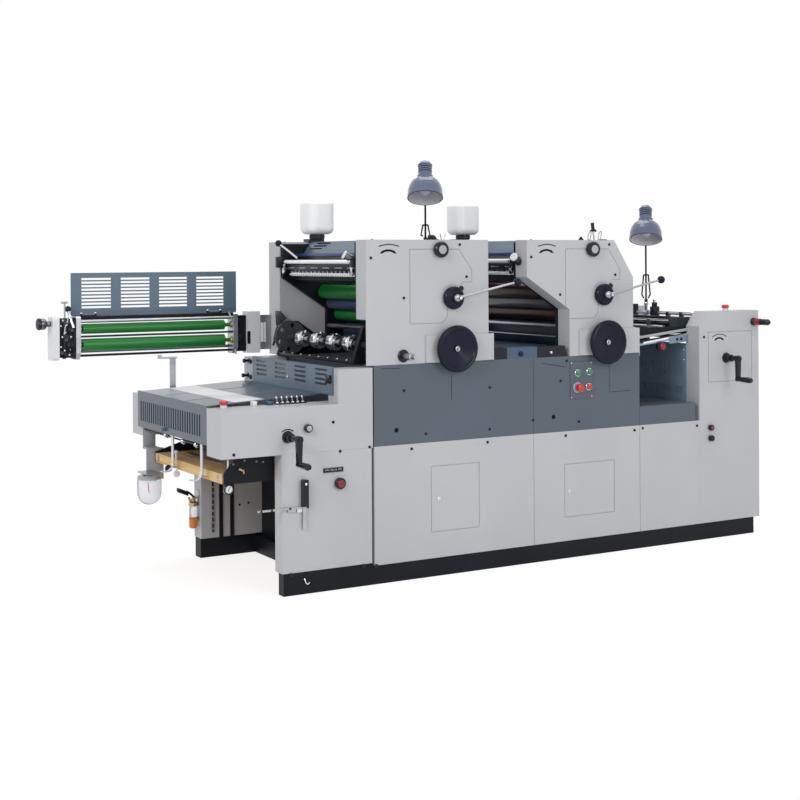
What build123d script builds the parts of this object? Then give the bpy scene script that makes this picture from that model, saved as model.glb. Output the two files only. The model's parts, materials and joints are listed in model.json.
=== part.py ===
from build123d import *
from math import cos, radians, sin
import os

# Two-unit offset printing press, in millimetres.
# The origin is on the floor under the middle of the base. +X runs from the delivery to the feeder,
# +Y from the operator's side to the drive side, and +Z is up.

# Base
base_length = 2841
base_width = 1042
base_height = 87
front_rail_width = 51
rear_rail_width = 70
bed_start = 300                  # from the delivery end; before it the base is an open fork
delivery_pad_height = 14

# Lower cabinets, one after the other from the delivery end
delivery_overhang = 5
delivery_cabinet_length = 459
delivery_gap = 14
unit_1_length = 904
unit_2_length = 672
infeed_length = 409
feeder_length = 428
cabinet_seam = 2
cabinet_height = 551             # above the base
band_height = 377
infeed_band_inset = 30
infeed_band_height = 97
front_cabinet_depth = 75
rear_cabinet_depth = 92
seam_depth = 2.5
seam_width = 3

# Delivery side boxes, hood and guard
side_box_overhang = 298          # beyond the delivery end of the base
side_box_length = 759
side_box_height = 213
front_side_box_depth = 162
rear_side_box_inset = 21
rear_side_box_depth = 145
raised_length = 181
raised_height = 371
raised_front_depth = 97
raised_rear_inset = 122
raised_rear_depth = 130
hood_height = 178
hood_plate = 12
hood_skin = 6
hood_rise = 27
hood_end_beyond = 36
hood_slot_count = 27
hood_slot_width = 15
hood_slot_height = 99
guard_plate = 10
guard_height = 130
guard_front_edge = 42
guard_rear_inset = 117
guard_groups = 4
guard_slots = 4
guard_slot_height = 10
guard_slot_length = 120

# Towers
tower_pitch = 908
tower_start = 429                # from the delivery end of the base
tower_1_length = 679
tower_2_top_length = 547
tower_2_length = 670
tower_height = 585
tower_shoulder = 394
front_cover_depth = 97
rear_cover_inset = 113
rear_cover_depth = 131
cover_sheet = 4
undercut_length = 261
undercut_top = 401               # above the band
undercut_bottom = 235
end_face_bottom = 213
frame_thickness = 25
tie_radius = 20
boss_thickness = 12

# Cylinders and rollers
journal_radius = 14
journal_length = 20
running_gap = 0.3
end_gap = 12                     # between a roller's face and the side frame
cylinder_radius = 88
cylinder_gap = 1
plate_offset = 440
plate_height = 283
ink_roller_radius = 37
roller_gap = 0.5
upper_roller_offset = 241
upper_roller_height = 325
ink_line_angle = -51
key_count = 16
key_size = 12
cover_slot_length = 137
cover_slot_height = 6

# Operator's controls
handwheel_radius = 112
handwheel_inset = 209            # from the far end of the tower
handwheel_height = 65
handwheel_reach = 62
dial_radius = 55
dial_height = 307
lever_length = 357
lever_angle = 11.6
lever_ball_radius = 20
crank_reaches = (117, 92)        # delivery and feeder
crank_arm = 110
crank_grip = 98

# Numbering shaft
numbering_x = 470
numbering_height = 92
numbering_disc_radius = 86
numbering_wheel_radius = 38
numbering_wheel_shares = (0.13, 0.35, 0.57, 0.79)

# Swing-out inking unit, drawn open
hinge_x = 378
hinge_offset = 3                 # beyond the drive side of the base
hinge_pin_radius = 8
swing_bottom = 1024
swing_height = 212
swing_length = 858
swing_depth = 80
swing_plate = 24
swing_cluster = 50
swing_gearbox = 84
end_cover = 34
form_roller_radius = 31
upper_swing_roller_radius = 25
form_roller_z = 1094
upper_swing_roller_z = 1173
swing_journal_radius = 10
cover_height = 208
cover_skin = 4
cover_pin_radius = 3

# Pile board
board_length = 550
board_thickness = 44
board_bottom = 511
board_front = 105
board_rear_inset = 104
board_beyond = 250               # beyond the delivery end of the base
column_width = 18
column_depth = 7
column_places = (92, 152)        # from the delivery end

# Feeder
feeder_depth = 104
rail_plate = 10
guard_slot_groups = 8

# Water bottles
bottle_width = 152
bottle_height = 168
bottle_cap_top = 40              # above the tower
bottle_cap_radius = 38

# Lamps
shade_radius = 89
lamp_tilt = 22
lamp_lean = 122
neck_offset = 76
neck_drop = 26
arm_radius = 5
joint_radius = 9
joint_pin_radius = 4

left = -base_length / 2
front = -base_width / 2
cabinet_top = base_height + cabinet_height
band_top = cabinet_top + band_height
tower_top = band_top + tower_height
unit_1_start = delivery_cabinet_length - delivery_overhang + delivery_gap
unit_2_start = unit_1_start + unit_1_length + cabinet_seam
infeed_start = unit_2_start + unit_2_length + cabinet_seam
feeder_start = infeed_start + infeed_length
feeder_top = base_height + 1131
side_box_bottom = cabinet_top - 3
side_box_top = side_box_bottom + side_box_height
side_box_end = side_box_length - side_box_overhang
raised_start = side_box_end - raised_length
hood_top = side_box_top + 10
rear_side_box_y = base_width - rear_side_box_inset
rear_cover_start = base_width - rear_cover_inset
front_frame_y = front_cover_depth
rear_frame_y = rear_cover_start - frame_thickness
inside = (front_frame_y + frame_thickness, rear_frame_y)
tower_starts = {1: tower_start, 2: tower_start + tower_pitch}
tower_lengths = {1: tower_1_length, 2: tower_2_length}
hinge_y = base_width + hinge_offset
swing_right = hinge_x - 135
swing_left = swing_right - swing_length
swing_top = swing_bottom + swing_height
swing_roller_y = hinge_y + 30
tie_height = tower_top - 35
tie_places = {1: tower_start + tower_1_length - 48, 2: tower_start + tower_pitch + 470}
bottle_y = base_width - 142


def block(x, y, z):
    """A box from (low, high) pairs; x from the base's delivery end, y from the operator's face."""
    return Pos(left + (x[0] + x[1]) / 2, front + (y[0] + y[1]) / 2, (z[0] + z[1]) / 2) * Box(
        x[1] - x[0], y[1] - y[0], z[1] - z[0])


def profile(points, y):
    """A polygon of (x, z) points pushed across the press from y[0] to y[1]."""
    outline = make_face(Polyline(*[(left + px, pz) for px, pz in points], close=True))
    return Pos(0, front + y[1], 0) * extrude(Plane.XZ * outline, amount=y[1] - y[0])


def end_profile(points, x):
    """A polygon of (y, z) points pushed along the press from x[0] to x[1]."""
    outline = make_face(Polyline(*[(front + py, pz) for py, pz in points], close=True))
    return Pos(left + x[0], 0, 0) * extrude(Plane.YZ * outline, amount=x[1] - x[0])


def rod(x, z, y, radius):
    """A round bar across the press."""
    return Pos(left + x, front + (y[0] + y[1]) / 2, z) * Rot(90, 0, 0) * Cylinder(radius, y[1] - y[0])


def long_rod(y, z, x, radius):
    """A round bar along the press."""
    return Pos(left + (x[0] + x[1]) / 2, front + y, z) * Rot(0, 90, 0) * Cylinder(radius, x[1] - x[0])


def post(x, y, z, radius):
    """A round upright."""
    return Pos(left + x, front + y, (z[0] + z[1]) / 2) * Cylinder(radius, z[1] - z[0])


def turned(points, place, direction):
    """A solid of revolution from (radius, distance along the axis) points."""
    outline = make_face(Polyline(*points, close=True))
    return Plane(place, z_dir=direction).location * revolve(Plane.XZ * outline, Axis.Z)


def knob(x, z, points):
    """A turned knob on the operator's face; distances run outwards from the face."""
    return turned(points, (left + x, front, z), (0, -1, 0))


def seam(points, face=0, side=1):
    """The groove round a panel in the operator's face, or in a rear face when side is -1."""
    y = (face - 1, face + seam_depth) if side == 1 else (face - seam_depth, face + 1)
    outline = make_face(Polyline(*[(left + px, pz) for px, pz in points], close=True))
    groove = outline - offset(outline, -seam_width, kind=Kind.INTERSECTION)
    return Pos(0, front + y[1], 0) * extrude(Plane.XZ * groove, amount=y[1] - y[0])


def panel(x, z):
    """The corners of a rectangular panel."""
    return [(x[0], z[0]), (x[1], z[0]), (x[1], z[1]), (x[0], z[1])]


def save(name, *solids):
    shape = solids[0] if len(solids) == 1 else Compound(children=list(solids))
    export_step(shape, f"parts/{name}.step")


def base():
    delivery_end = delivery_cabinet_length - delivery_overhang
    rail = block((0, base_length), (0, front_rail_width), (0, base_height))
    rail += block((0, base_length), (base_width - rear_rail_width, base_width), (0, base_height))
    bed = block((bed_start, base_length), (0, base_width), (0, base_height))
    pads = block((0, delivery_end), (0, front_rail_width), (base_height, base_height + delivery_pad_height))
    pads += block((0, delivery_end), (base_width - rear_rail_width, base_width),
                  (base_height, base_height + delivery_pad_height))
    save("base_frame", rail + bed + pads)


def cabinets():
    low = base_height + delivery_pad_height
    length = (-delivery_overhang, delivery_cabinet_length - delivery_overhang)
    save("delivery_cabinets", block(length, (0, front_cabinet_depth), (low, side_box_bottom)),
         block(length, (base_width - rear_cabinet_depth, base_width), (low, side_box_bottom)))
    runs = ((unit_1_start, unit_1_length), (unit_2_start, unit_2_length), (infeed_start, infeed_length))
    doors = ((unit_1_length * 0.34, unit_1_length * 0.644, 209, 524),
             (unit_2_length * 0.277, unit_2_length * 0.753, 205, 473), None)
    boxes, bands = [], []
    for (start, length), door in zip(runs, doors):
        box = block((start, start + length), (0, base_width), (base_height, cabinet_top))
        if door:
            outline = panel((start + door[0], start + door[1]), door[2:])
            box -= seam(outline)
            box -= seam(outline, base_width, -1)
        boxes.append(box)
    for start, length in runs[:2]:
        bands.append(block((start, start + length), (0, base_width), (cabinet_top, band_top)))
    bands.append(block((infeed_start, feeder_start - infeed_band_inset), (0, base_width),
                       (cabinet_top, cabinet_top + infeed_band_height)))
    save("unit_cabinets", *boxes)
    save("unit_bands", *bands)


def delivery():
    box_x = (-side_box_overhang, side_box_end)
    raised_x = (raised_start, side_box_end)
    raised_top = side_box_bottom + raised_height
    near = block(box_x, (0, front_side_box_depth), (side_box_bottom, side_box_top))
    near += block(raised_x, (0, raised_front_depth), (side_box_bottom, raised_top))
    rear_y = rear_side_box_y
    far_x = (box_x[0] + hood_plate, box_x[1])
    far = block(far_x, (rear_y, rear_y + rear_side_box_depth), (side_box_bottom, side_box_top - 9))
    raised_y = base_width - raised_rear_inset
    far += block(raised_x, (raised_y, raised_y + raised_rear_depth), (side_box_bottom, raised_top))
    save("delivery_side_boxes", near, far)

    end_y = (front_side_box_depth, rear_y + hood_end_beyond)
    hood = block((box_x[0], far_x[0]), end_y, (hood_top - hood_height, hood_top))
    pitch = (end_y[1] - end_y[0] - 130) / (hood_slot_count - 1)
    slot_z = (hood_top - 146, hood_top - 146 + hood_slot_height)
    for i in range(hood_slot_count):
        middle = end_y[0] + 83 + i * pitch
        hood -= block((box_x[0] - 1, far_x[0] + 1),
                      (middle - hood_slot_width / 2, middle + hood_slot_width / 2), slot_z)
    guard_x = raised_start - guard_plate
    hood += profile([(far_x[0] - 1, hood_top), (guard_x, hood_top + hood_rise),
                     (guard_x, hood_top + hood_rise - hood_skin), (far_x[0] - 1, hood_top - hood_skin)],
                    (front_side_box_depth, rear_y))
    save("delivery_hood", hood)

    low = hood_top + hood_rise
    guard_y = (guard_front_edge, base_width - guard_rear_inset)
    guard = block((guard_x, raised_start), guard_y, (low, low + guard_height))
    group_pitch = (guard_y[1] - guard_y[0]) / guard_groups
    for group in range(guard_groups):
        middle = guard_y[0] + group_pitch * (group + 0.5)
        for i in range(guard_slots):
            z = low + 40 + i * 22
            guard -= block((guard_x - 1, raised_start + 1),
                           (middle - guard_slot_length / 2, middle + guard_slot_length / 2),
                           (z, z + guard_slot_height))
    save("delivery_guard", guard)

    side_plate = profile([(-board_beyond, board_bottom), (-delivery_overhang, board_bottom),
                          (-delivery_overhang, side_box_bottom), (70 - board_beyond, side_box_bottom),
                          (-board_beyond, board_bottom + 49)],
                         (front_cabinet_depth + 10, front_cabinet_depth + 16))
    rear_face = base_width - rear_cabinet_depth
    columns = [block((x, x + column_width), (rear_face - column_depth, rear_face),
                     (base_height + delivery_pad_height, side_box_bottom)) for x in column_places]
    bulkhead = block((bed_start + 30, bed_start + 42), (front_cabinet_depth, rear_face),
                     (base_height, side_box_bottom))
    save("pile_guides", side_plate, *columns, bulkhead)

    board = block((-board_beyond, board_length - board_beyond), (board_front, base_width - board_rear_inset),
                  (board_bottom, board_bottom + board_thickness))
    for x in column_places:
        board += block((x - 4, x + column_width + 4),
                       (base_width - board_rear_inset - 1, rear_face - column_depth - running_gap),
                       (board_bottom + 2, board_bottom + board_thickness - 2))
    save("pile_board", board)


def tower_outline(n, sheet):
    """The side view of a tower; the sheet of tower 1 hides the undercut that tower 2 shows."""
    start = tower_starts[n]
    if n == 1:
        right = [(start + tower_1_length, tower_top), (start + tower_1_length, band_top)]
    else:
        right = [(start + tower_2_top_length, tower_top), (start + tower_2_length, band_top + tower_shoulder),
                 (start + tower_2_length, band_top)]
    points = [(start, tower_top)] + right
    if n == 1 and sheet:
        return points + [(start, band_top)]
    return points + [(start + undercut_length, band_top), (start + undercut_length, band_top + undercut_bottom),
                     (start, band_top + undercut_top)]


def tower_door(n):
    """The corners of the panel in a tower's front and rear cover."""
    start, end = tower_starts[n], tower_starts[n] + tower_2_length
    return [(start + 235, band_top + 186), (end - 251, band_top + 186), (end - 225, band_top + 220),
            (end - 225, band_top + 270), (end - 137, band_top + 380), (end - 85, band_top + 380),
            (end - 85, band_top + 439), (end - 159, band_top + 541), (start + 235, band_top + 541)]


def towers():
    covers, all_frames, bars = [], numbering_brackets(), []
    for n in (1, 2):
        start = tower_starts[n]
        cover = profile(tower_outline(n, True), (0, front_cover_depth))
        if n == 1:
            cover -= block((start - 1, start + undercut_length), (cover_sheet, front_cover_depth + 1),
                           (band_top - 1, band_top + end_face_bottom))
        rear_face = rear_cover_start + rear_cover_depth
        rear = profile(tower_outline(n, True), (rear_cover_start, rear_face))
        covers += [cover - seam(tower_door(n)), rear - seam(tower_door(n), rear_face, -1)]
        inset = [(x + (6 if x == start else -6 if x > start + undercut_length else 0),
                  z - (10 if z == tower_top else 0)) for x, z in tower_outline(n, False)]
        frames = profile(inset, (front_frame_y, front_frame_y + frame_thickness))
        frames += profile(inset, (rear_frame_y, rear_cover_start))
        for x, z in ((tie_places[n], tie_height), (start + tower_lengths[n] - 119, band_top + 60)):
            frames += rod(x, z, (front_frame_y, rear_cover_start), tie_radius)
        for x, z, radius in turning_places(n):
            for y in (front_frame_y, rear_frame_y):
                frames -= rod(x, z, (y - 1, y + frame_thickness + 1), journal_radius + running_gap)
        all_frames.append(frames)
        for offset, z, radius in ((14, 482, 7), (275, 147, 13), (275, 91, 5)):
            bars.append(rod(start + offset, band_top + z, inside, radius))
        for i in range(key_count):
            y = inside[0] + 55 + i * (inside[1] - inside[0] - 110) / (key_count - 1)
            bars.append(block((start + 28, start + 62), (y - key_size / 2, y + key_size / 2),
                              (band_top + 424, band_top + 424 + key_size)))
    for offset, z, radius in ((43, 184, 8), (29, 164, 6), (20, 147, 5)):
        bars.append(rod(feeder_start + offset, band_top + z, (feeder_depth, base_width - feeder_depth), radius))
    save("tower_covers", *covers)
    save("side_frames", *all_frames)
    save("bright_bars", *bars)


def turning_places(n):
    """(x, z, radius) of the upper, middle and lower ink rollers, the plate and the blanket cylinder."""
    start = tower_starts[n]
    step = 2 * ink_roller_radius + roller_gap
    dx, dz = cos(radians(ink_line_angle)) * step, sin(radians(ink_line_angle)) * step
    upper = (start + upper_roller_offset, band_top + upper_roller_height)
    places = [(upper[0] + i * dx, upper[1] + i * dz, ink_roller_radius) for i in range(3)]
    plate = (start + plate_offset, band_top + plate_height)
    places.append((*plate, cylinder_radius))
    places.append((plate[0], plate[1] - 2 * cylinder_radius - cylinder_gap, cylinder_radius))
    return places


def rollers():
    names = ("upper_ink_roller", "middle_ink_roller", "lower_ink_roller", "plate_cylinder",
             "blanket_cylinder")
    for n in (1, 2):
        for name, (x, z, radius) in zip(names, turning_places(n)):
            body = rod(x, z, (inside[0] + end_gap, inside[1] - end_gap), radius)
            body += rod(x, z, (inside[0] - journal_length, inside[1] + journal_length), journal_radius)
            save(f"{name}_{n}", body)


def fountains():
    troughs, covers, bottles = [], [], []
    for n in (1, 2):
        start = tower_starts[n]
        shape = [(62, 390), (110, 378), (160, 410), (150, 500), (126, 512), (62, 462)]
        troughs.append(profile([(start + x, band_top + z) for x, z in shape], inside))
        shape = [(122, 514), (152, 514), (176, 560), (176, 582), (171, 586), (140, 545)]
        cover = profile([(start + x, band_top + z) for x, z in shape], inside)
        for x, y, z in ((160, 672, 574), (150, 699, 560), (142, 726, 546)):
            cover -= block((start + x - 24, start + x + 7), (y, y + cover_slot_length),
                           (band_top + z, band_top + z + cover_slot_height))
        covers.append(cover)
        x = start + 203
        low = tower_top + bottle_cap_top
        bottle = Pos(left + x, front + bottle_y, low + bottle_height / 2) * Box(
            bottle_width, bottle_width, bottle_height)
        bottle = fillet(bottle.edges().filter_by(Axis.Z), 42)
        bottle = fillet(bottle.faces().sort_by(Axis.Z)[-1].edges(), 14)
        bottles.append(fillet(bottle.faces().sort_by(Axis.Z)[0].edges(), 34))
    save("ink_fountains", *troughs)
    save("fountain_covers", *covers)
    save("water_bottles", *bottles)


def controls():
    bosses, fittings = [], []
    for n in (1, 2):
        start = tower_starts[n]
        x = start + tower_1_length - handwheel_inset
        z = band_top + handwheel_height
        boss = block((x - 152, x + 232), (-boss_thickness, 0), (band_top + 2, band_top + 131))
        bosses.append(boss - rod(x, z, (-boss_thickness - 1, -2), journal_radius + running_gap))
        dial_z = band_top + dial_height
        dial = rod(x, dial_z, (-10, 0), 46)
        fittings.append(dial - rod(x, dial_z, (-11, -4), 10 + running_gap))
        wheel = turned([(0, 24), (34, 24), (34, 32), (100, 32), (108, 35), (handwheel_radius, 42),
                        (handwheel_radius, 52), (108, 59), (101, handwheel_reach), (92, handwheel_reach - 2),
                        (86, 54), (16, 42), (14, 48), (0, 49)], (left + x, front, z), (0, -1, 0))
        save(f"handwheel_{n}", wheel + rod(x, z, (-30, -4), journal_radius))
        hub = rod(x, dial_z, (-20, -5), 10)
        hub += knob(x, dial_z, [(0, 10.5), (dial_radius, 10.5), (dial_radius, 22), (dial_radius - 6, 30),
                                (20, 33), (20, 36), (0, 36)])
        heading = Vector(cos(radians(lever_angle)), 0, sin(radians(lever_angle)))
        root = Vector(left + x, front - 46, dial_z)
        save(f"impression_hub_{n}", hub, Pos(root + heading * lever_length) * Sphere(lever_ball_radius))
        lever = rod(x, dial_z, (-56, -36), 15)
        lever += Solid.make_cone(7.5, 4.5, lever_length - lever_ball_radius, Plane(root, z_dir=heading))
        save(f"impression_lever_{n}", lever)
        fittings.append(knob(start + 401, tower_top - 47,
                             [(0, 0), (33, 0), (38, 8), (38, 24), (32, 30), (0, 30)]))
        fittings.append(rod(start + 522, band_top + 351, (-6, 0), 10))
    save("tower_bosses", *bosses)
    cranks = (("delivery_crank", 24, side_box_bottom + 79, crank_reaches[0]),
              ("feeder_crank", feeder_start + 190, band_top - 50, crank_reaches[1]))
    for name, x, z, reach in cranks:
        crank = rod(x, z, (-reach, -14), 13) + rod(x, z, (-44, -14), 19)
        crank += rod(x, z, (-reach - 10, -reach + 16), 17)
        crank += profile([(x - 15, z), (x + 15, z), (x + 11, z - crank_arm), (x - 11, z - crank_arm)],
                         (-reach - 8, -reach + 9))
        crank += turned([(0, -10), (13, -10), (12, 8), (14, 30), (16, crank_grip - 14), (12, crank_grip),
                         (0, crank_grip)], (left + x, front - reach, z - crank_arm), (0, -1, 0))
        save(name, crank)
        fittings.append(knob(x, z, [(0, 0), (28, 0), (28, 4), (24, 14 - running_gap), (0, 14 - running_gap)]))
    for x, z, reach, radius in ((122, side_box_bottom + 113, 24, 19), (283, 486, 22, 26),
                                (feeder_start + 73, 595, 22, 16), (feeder_start + 73, 539, 22, 16),
                                (tower_start + 197, band_top + 39, 8, 24)):
        fittings.append(knob(x, z, [(0, 0), (radius - 3, 0), (radius, 4), (radius, reach - 3),
                                    (radius - 3, reach), (0, reach)]))
    fittings.append(knob(feeder_start + 389, feeder_top - 63,
                         [(0, 0), (21, 0), (21, 12), (12, 16), (12, 62), (17, 66), (17, 112), (12, 120), (0, 120)]))
    grip = block((86, 114), (-30, -6), (398, 520))
    grip = fillet(grip.edges().filter_by(Axis.Y).group_by(Axis.Z)[-1], 6)
    fittings.append(grip + block((94, 106), (-10, 0), (440, 480)))
    for n in (1, 2):
        x = tower_starts[n] + 203
        cap = post(x, bottle_y, (tower_top + 16, tower_top + bottle_cap_top), bottle_cap_radius)
        fittings.append(cap + block((x - 45, x + 45), (rear_frame_y, rear_cover_start + 40),
                                    (tower_top, tower_top + 16)))
    gap = tower_start + tower_1_length
    fittings += [block((gap + 31, gap + 108), (0, 60), (band_top, band_top + 55)),
                 block((gap + 288, gap + 460), (0, 60), (band_top, band_top + 55))]
    save("black_fittings", *fittings)
    panel_x = (unit_2_start + 225, unit_2_start + 363)
    save("control_plates", block(panel_x, (-4, 0), (band_top - 214, band_top - 30)),
         block((201, 304), (-3, 0), (538, 560)))
    save("green_buttons", *[rod(panel_x[0] + x, band_top - z, (-18, -4), 14) for x, z in ((44, 87), (117, 83))])
    stop = rod(panel_x[0] + 43, band_top - 160, (-20, -4), 13)
    red = [stop + rod(panel_x[0] + 43, band_top - 160, (-34, -18), 20),
           rod(panel_x[0] + 113, band_top - 159, (-18, -4), 14)]
    for x, y, z in ((-225, 140, side_box_top), (feeder_start + 243, 60, feeder_top)):
        red.append(post(x, y, (z, z + 16), 12) + post(x, y, (z + 14, z + 26), 20))
    save("red_buttons", *red)


def numbering_brackets():
    z = band_top + numbering_height
    edge = tower_start + undercut_length - 1
    brackets = []
    for y in (front_frame_y, rear_frame_y):
        bracket = profile([(numbering_x - 63, band_top), (edge, band_top), (edge, band_top + 60),
                           (numbering_x + 50, band_top + 175), (numbering_x - 3, band_top + 175)],
                          (y, y + frame_thickness))
        brackets.append(bracket - rod(numbering_x, z, (y - 1, y + frame_thickness + 1),
                                      journal_radius + running_gap))
    return brackets


def numbering():
    z = band_top + numbering_height
    disc_y = (inside[1] - 20, inside[1] - 6)
    disc = rod(numbering_x, z, disc_y, numbering_disc_radius)
    for i in range(6):
        a = radians(60 * i + 20)
        disc -= rod(numbering_x + 62 * cos(a), z + 62 * sin(a), (disc_y[0] - 1, disc_y[1] + 1), 12)
    save("numbering_disc", disc - rod(numbering_x, z, (disc_y[0] - 1, disc_y[1] + 1), journal_radius + 0.05))
    shaft = rod(numbering_x, z, (inside[0] - journal_length, inside[1] + journal_length), journal_radius)
    for share in numbering_wheel_shares:
        y = inside[0] + share * (inside[1] - inside[0])
        shaft += rod(numbering_x, z, (y - 18, y + 18), numbering_wheel_radius)
        shaft += rod(numbering_x, z, (y - 34, y + 34), numbering_wheel_radius - 12)
    save("numbering_shaft", shaft)


def swing_unit():
    y = swing_roller_y
    near, far = hinge_y, hinge_y + swing_depth
    left_plate = (swing_left, swing_left + swing_plate)
    right_plate = (swing_right - swing_plate, swing_right)
    between = (left_plate[1], right_plate[0])
    outline = [(near, swing_bottom + 30), (near + 24, swing_bottom), (far, swing_bottom),
               (far, swing_top - 22), (far - 16, swing_top), (near + 8, swing_top), (near, swing_top - 8)]
    frame = end_profile(outline, left_plate) + end_profile(outline, right_plate)
    frame += long_rod(near + 8, swing_top - 24, (left_plate[0] + 1, right_plate[1] - 1), 7)
    for rod_z in (form_roller_z, upper_swing_roller_z):
        for x in ((left_plate[0] + 6, left_plate[1] + 1), (right_plate[0] - 1, right_plate[1] - 6)):
            frame -= long_rod(y, rod_z, x, swing_journal_radius + running_gap)
    save("swing_unit_frame", frame)

    gearbox_x = (swing_left - swing_gearbox, swing_left)
    gears = block((swing_left - 12, swing_left), (near + 4, far - 4), (swing_bottom + 6, swing_top - 6))
    gears += block((gearbox_x[0], swing_left - 60), (near + 10, far - 6), (swing_bottom + 12, swing_top - 30))
    for gear_y, gear_z, radius, reach in ((y, form_roller_z, 34, 46), (y, upper_swing_roller_z, 30, 40),
                                          (y + 18, 1134, 14, 61), (near + 22, 1052, 18, 61)):
        gears += long_rod(gear_y, gear_z, (swing_left - reach, swing_left - 10), radius)
    cluster = block((swing_right, swing_right + swing_cluster), (near + 10, far - 10),
                    (swing_bottom + 10, swing_top - 16))
    cluster += long_rod(y, form_roller_z, (swing_right, swing_right + 22), 36)
    rods = [long_rod(far - 14, 1134, between, 5), long_rod(y, swing_bottom + 18, between, 6)]
    trough = block(between, (near + 40, far - 2), (swing_top - 24, swing_top - 2))
    pin_y, pin_z = hinge_y + 72 + cover_skin / 2, swing_top + 5
    cover_hinges = (swing_left + 55, swing_right - 133)
    for x in cover_hinges:
        trough += long_rod(pin_y, pin_z, (x - 8, x + 68), cover_pin_radius)
        for lug_x in (x - 10, x + 61):
            trough += long_rod(pin_y, pin_z, (lug_x, lug_x + 9), 6.5)
            trough += block((lug_x, lug_x + 9), (pin_y - 6, pin_y + 3), (swing_top - 12, pin_z))
    cover_x = gearbox_x[0] - end_cover
    handle = turned([(0, 0), (10, 0), (10, 22), (24, 26), (27, 34), (27, 58), (24, 66), (0, 66)],
                    (left + cover_x, front + y, 1202), (-1, 0, 0))
    save("swing_unit_gears", gears, cluster, trough, *rods, handle)

    lid = block((cover_x, gearbox_x[0]), (near - 4, far), (swing_bottom, swing_top - 2))
    lid = fillet(lid.edges().filter_by(Axis.X), 14)
    hinge_block = block((swing_right + swing_cluster, hinge_x - 15), (hinge_y - 15, hinge_y + 55),
                        (swing_bottom, swing_top + 4))
    hinge_block += block((hinge_x - 16, hinge_x), (hinge_y - 12, hinge_y + 12), (1080, 1180))
    hinge_block += post(hinge_x, hinge_y, (1080, 1180), 14)
    hinge_block -= post(hinge_x, hinge_y, (1070, 1190), hinge_pin_radius + running_gap)
    save("swing_unit_end_covers", lid, hinge_block)

    for name, rod_z, radius in (("form_roller", form_roller_z, form_roller_radius),
                                ("upper_roller", upper_swing_roller_z, upper_swing_roller_radius)):
        roller = long_rod(y, rod_z, (left_plate[1] + 14, right_plate[0] - 44), radius)
        roller += long_rod(y, rod_z, (left_plate[1] - 12, right_plate[0] + 12), swing_journal_radius)
        save(f"swing_{name}", roller)

    cover_x = (swing_left - 4, swing_right + 22)
    cover_y = (pin_y - cover_skin / 2, pin_y + cover_skin / 2)
    cover = block(cover_x, cover_y, (pin_z + 11, pin_z + cover_height))
    group_pitch = (cover_x[1] - cover_x[0] - 74) / 4
    for group in range(4):
        x = cover_x[0] + 54 + group * group_pitch
        for i in range(9):
            z = pin_z + 32 + i * 17.5
            cover -= block((x, x + group_pitch - 51), (cover_y[0] - 1, cover_y[1] + 1), (z, z + 10))
    for x in cover_hinges:
        cover += long_rod(pin_y, pin_z, (x, x + 60), 6)
        cover += block((x, x + 60), cover_y, (pin_z, pin_z + 12))
        cover -= long_rod(pin_y, pin_z, (x - 1, x + 61), cover_pin_radius + running_gap)
    save("swing_unit_cover", cover)


def steelwork():
    bracket = post(hinge_x, hinge_y, (1040, 1220), hinge_pin_radius)
    for z in (1040, 1181):
        bracket += block((hinge_x - 6, tower_start), (hinge_y - 9, hinge_y + 9), (z, z + 39))
    bracket += block((hinge_x + 20, tower_start), (hinge_y - 9, hinge_y + 9), (1078, 1182))
    rest = block((-115, -85), (hinge_y + 40, hinge_y + 48), (side_box_top - 9, 1012))
    rest += block((-180, -85), (hinge_y + 17, hinge_y + 48), (1010, 1018))
    rest += block((-180, -168), (hinge_y + 17, hinge_y + 43), (1016, 1030))
    bracket_y = base_width - rear_cabinet_depth
    jar_x, jar_y = -board_beyond - 67, bracket_y - 103
    holder = block((-292, -205), (bracket_y, bracket_y + 6), (423, 577))
    holder += block((-282, -220), (bracket_y, rear_side_box_y + 9), (570, 578))
    holder += block((-282, -220), (rear_side_box_y + 1, rear_side_box_y + 9), (570, side_box_bottom))
    holder += block((jar_x - 20, jar_x + 54), (jar_y - 25, bracket_y + 6), (462, 470))
    straps = []
    for share in (0.24, 0.585):
        y = (base_width * share - 11, base_width * share + 11)
        strap = block((hood_plate - side_box_overhang, hood_plate - side_box_overhang + 3), y, (527, hood_top - 30))
        straps.append(strap + block((hood_plate - side_box_overhang, hood_plate - side_box_overhang + 24), y,
                                    (527, 530)))
    blade = block((92, 108), (-14, -10), (295, 398)) + block((-127, 134), (-11, -4), (389, 398))
    blade += block((20, 60), (-8, 0), (376, 398))
    stub = knob(tower_start + 197, band_top + 39, [(0, 8), (13, 8), (13, 56), (17, 58), (17, 82), (12, 86),
                                                   (9, 100), (9, 114), (0, 114)])
    save("steel_brackets", bracket, rest, holder, *straps, blade, stub)
    jar = turned([(0, 0), (30, 2), (48, 12), (57, 30), (60, 52), (60, 134), (46, 140), (46, 144), (0, 144)],
                 (left + jar_x, front + jar_y, 318), (0, 0, 1))
    save("oil_jar", jar)


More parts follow.
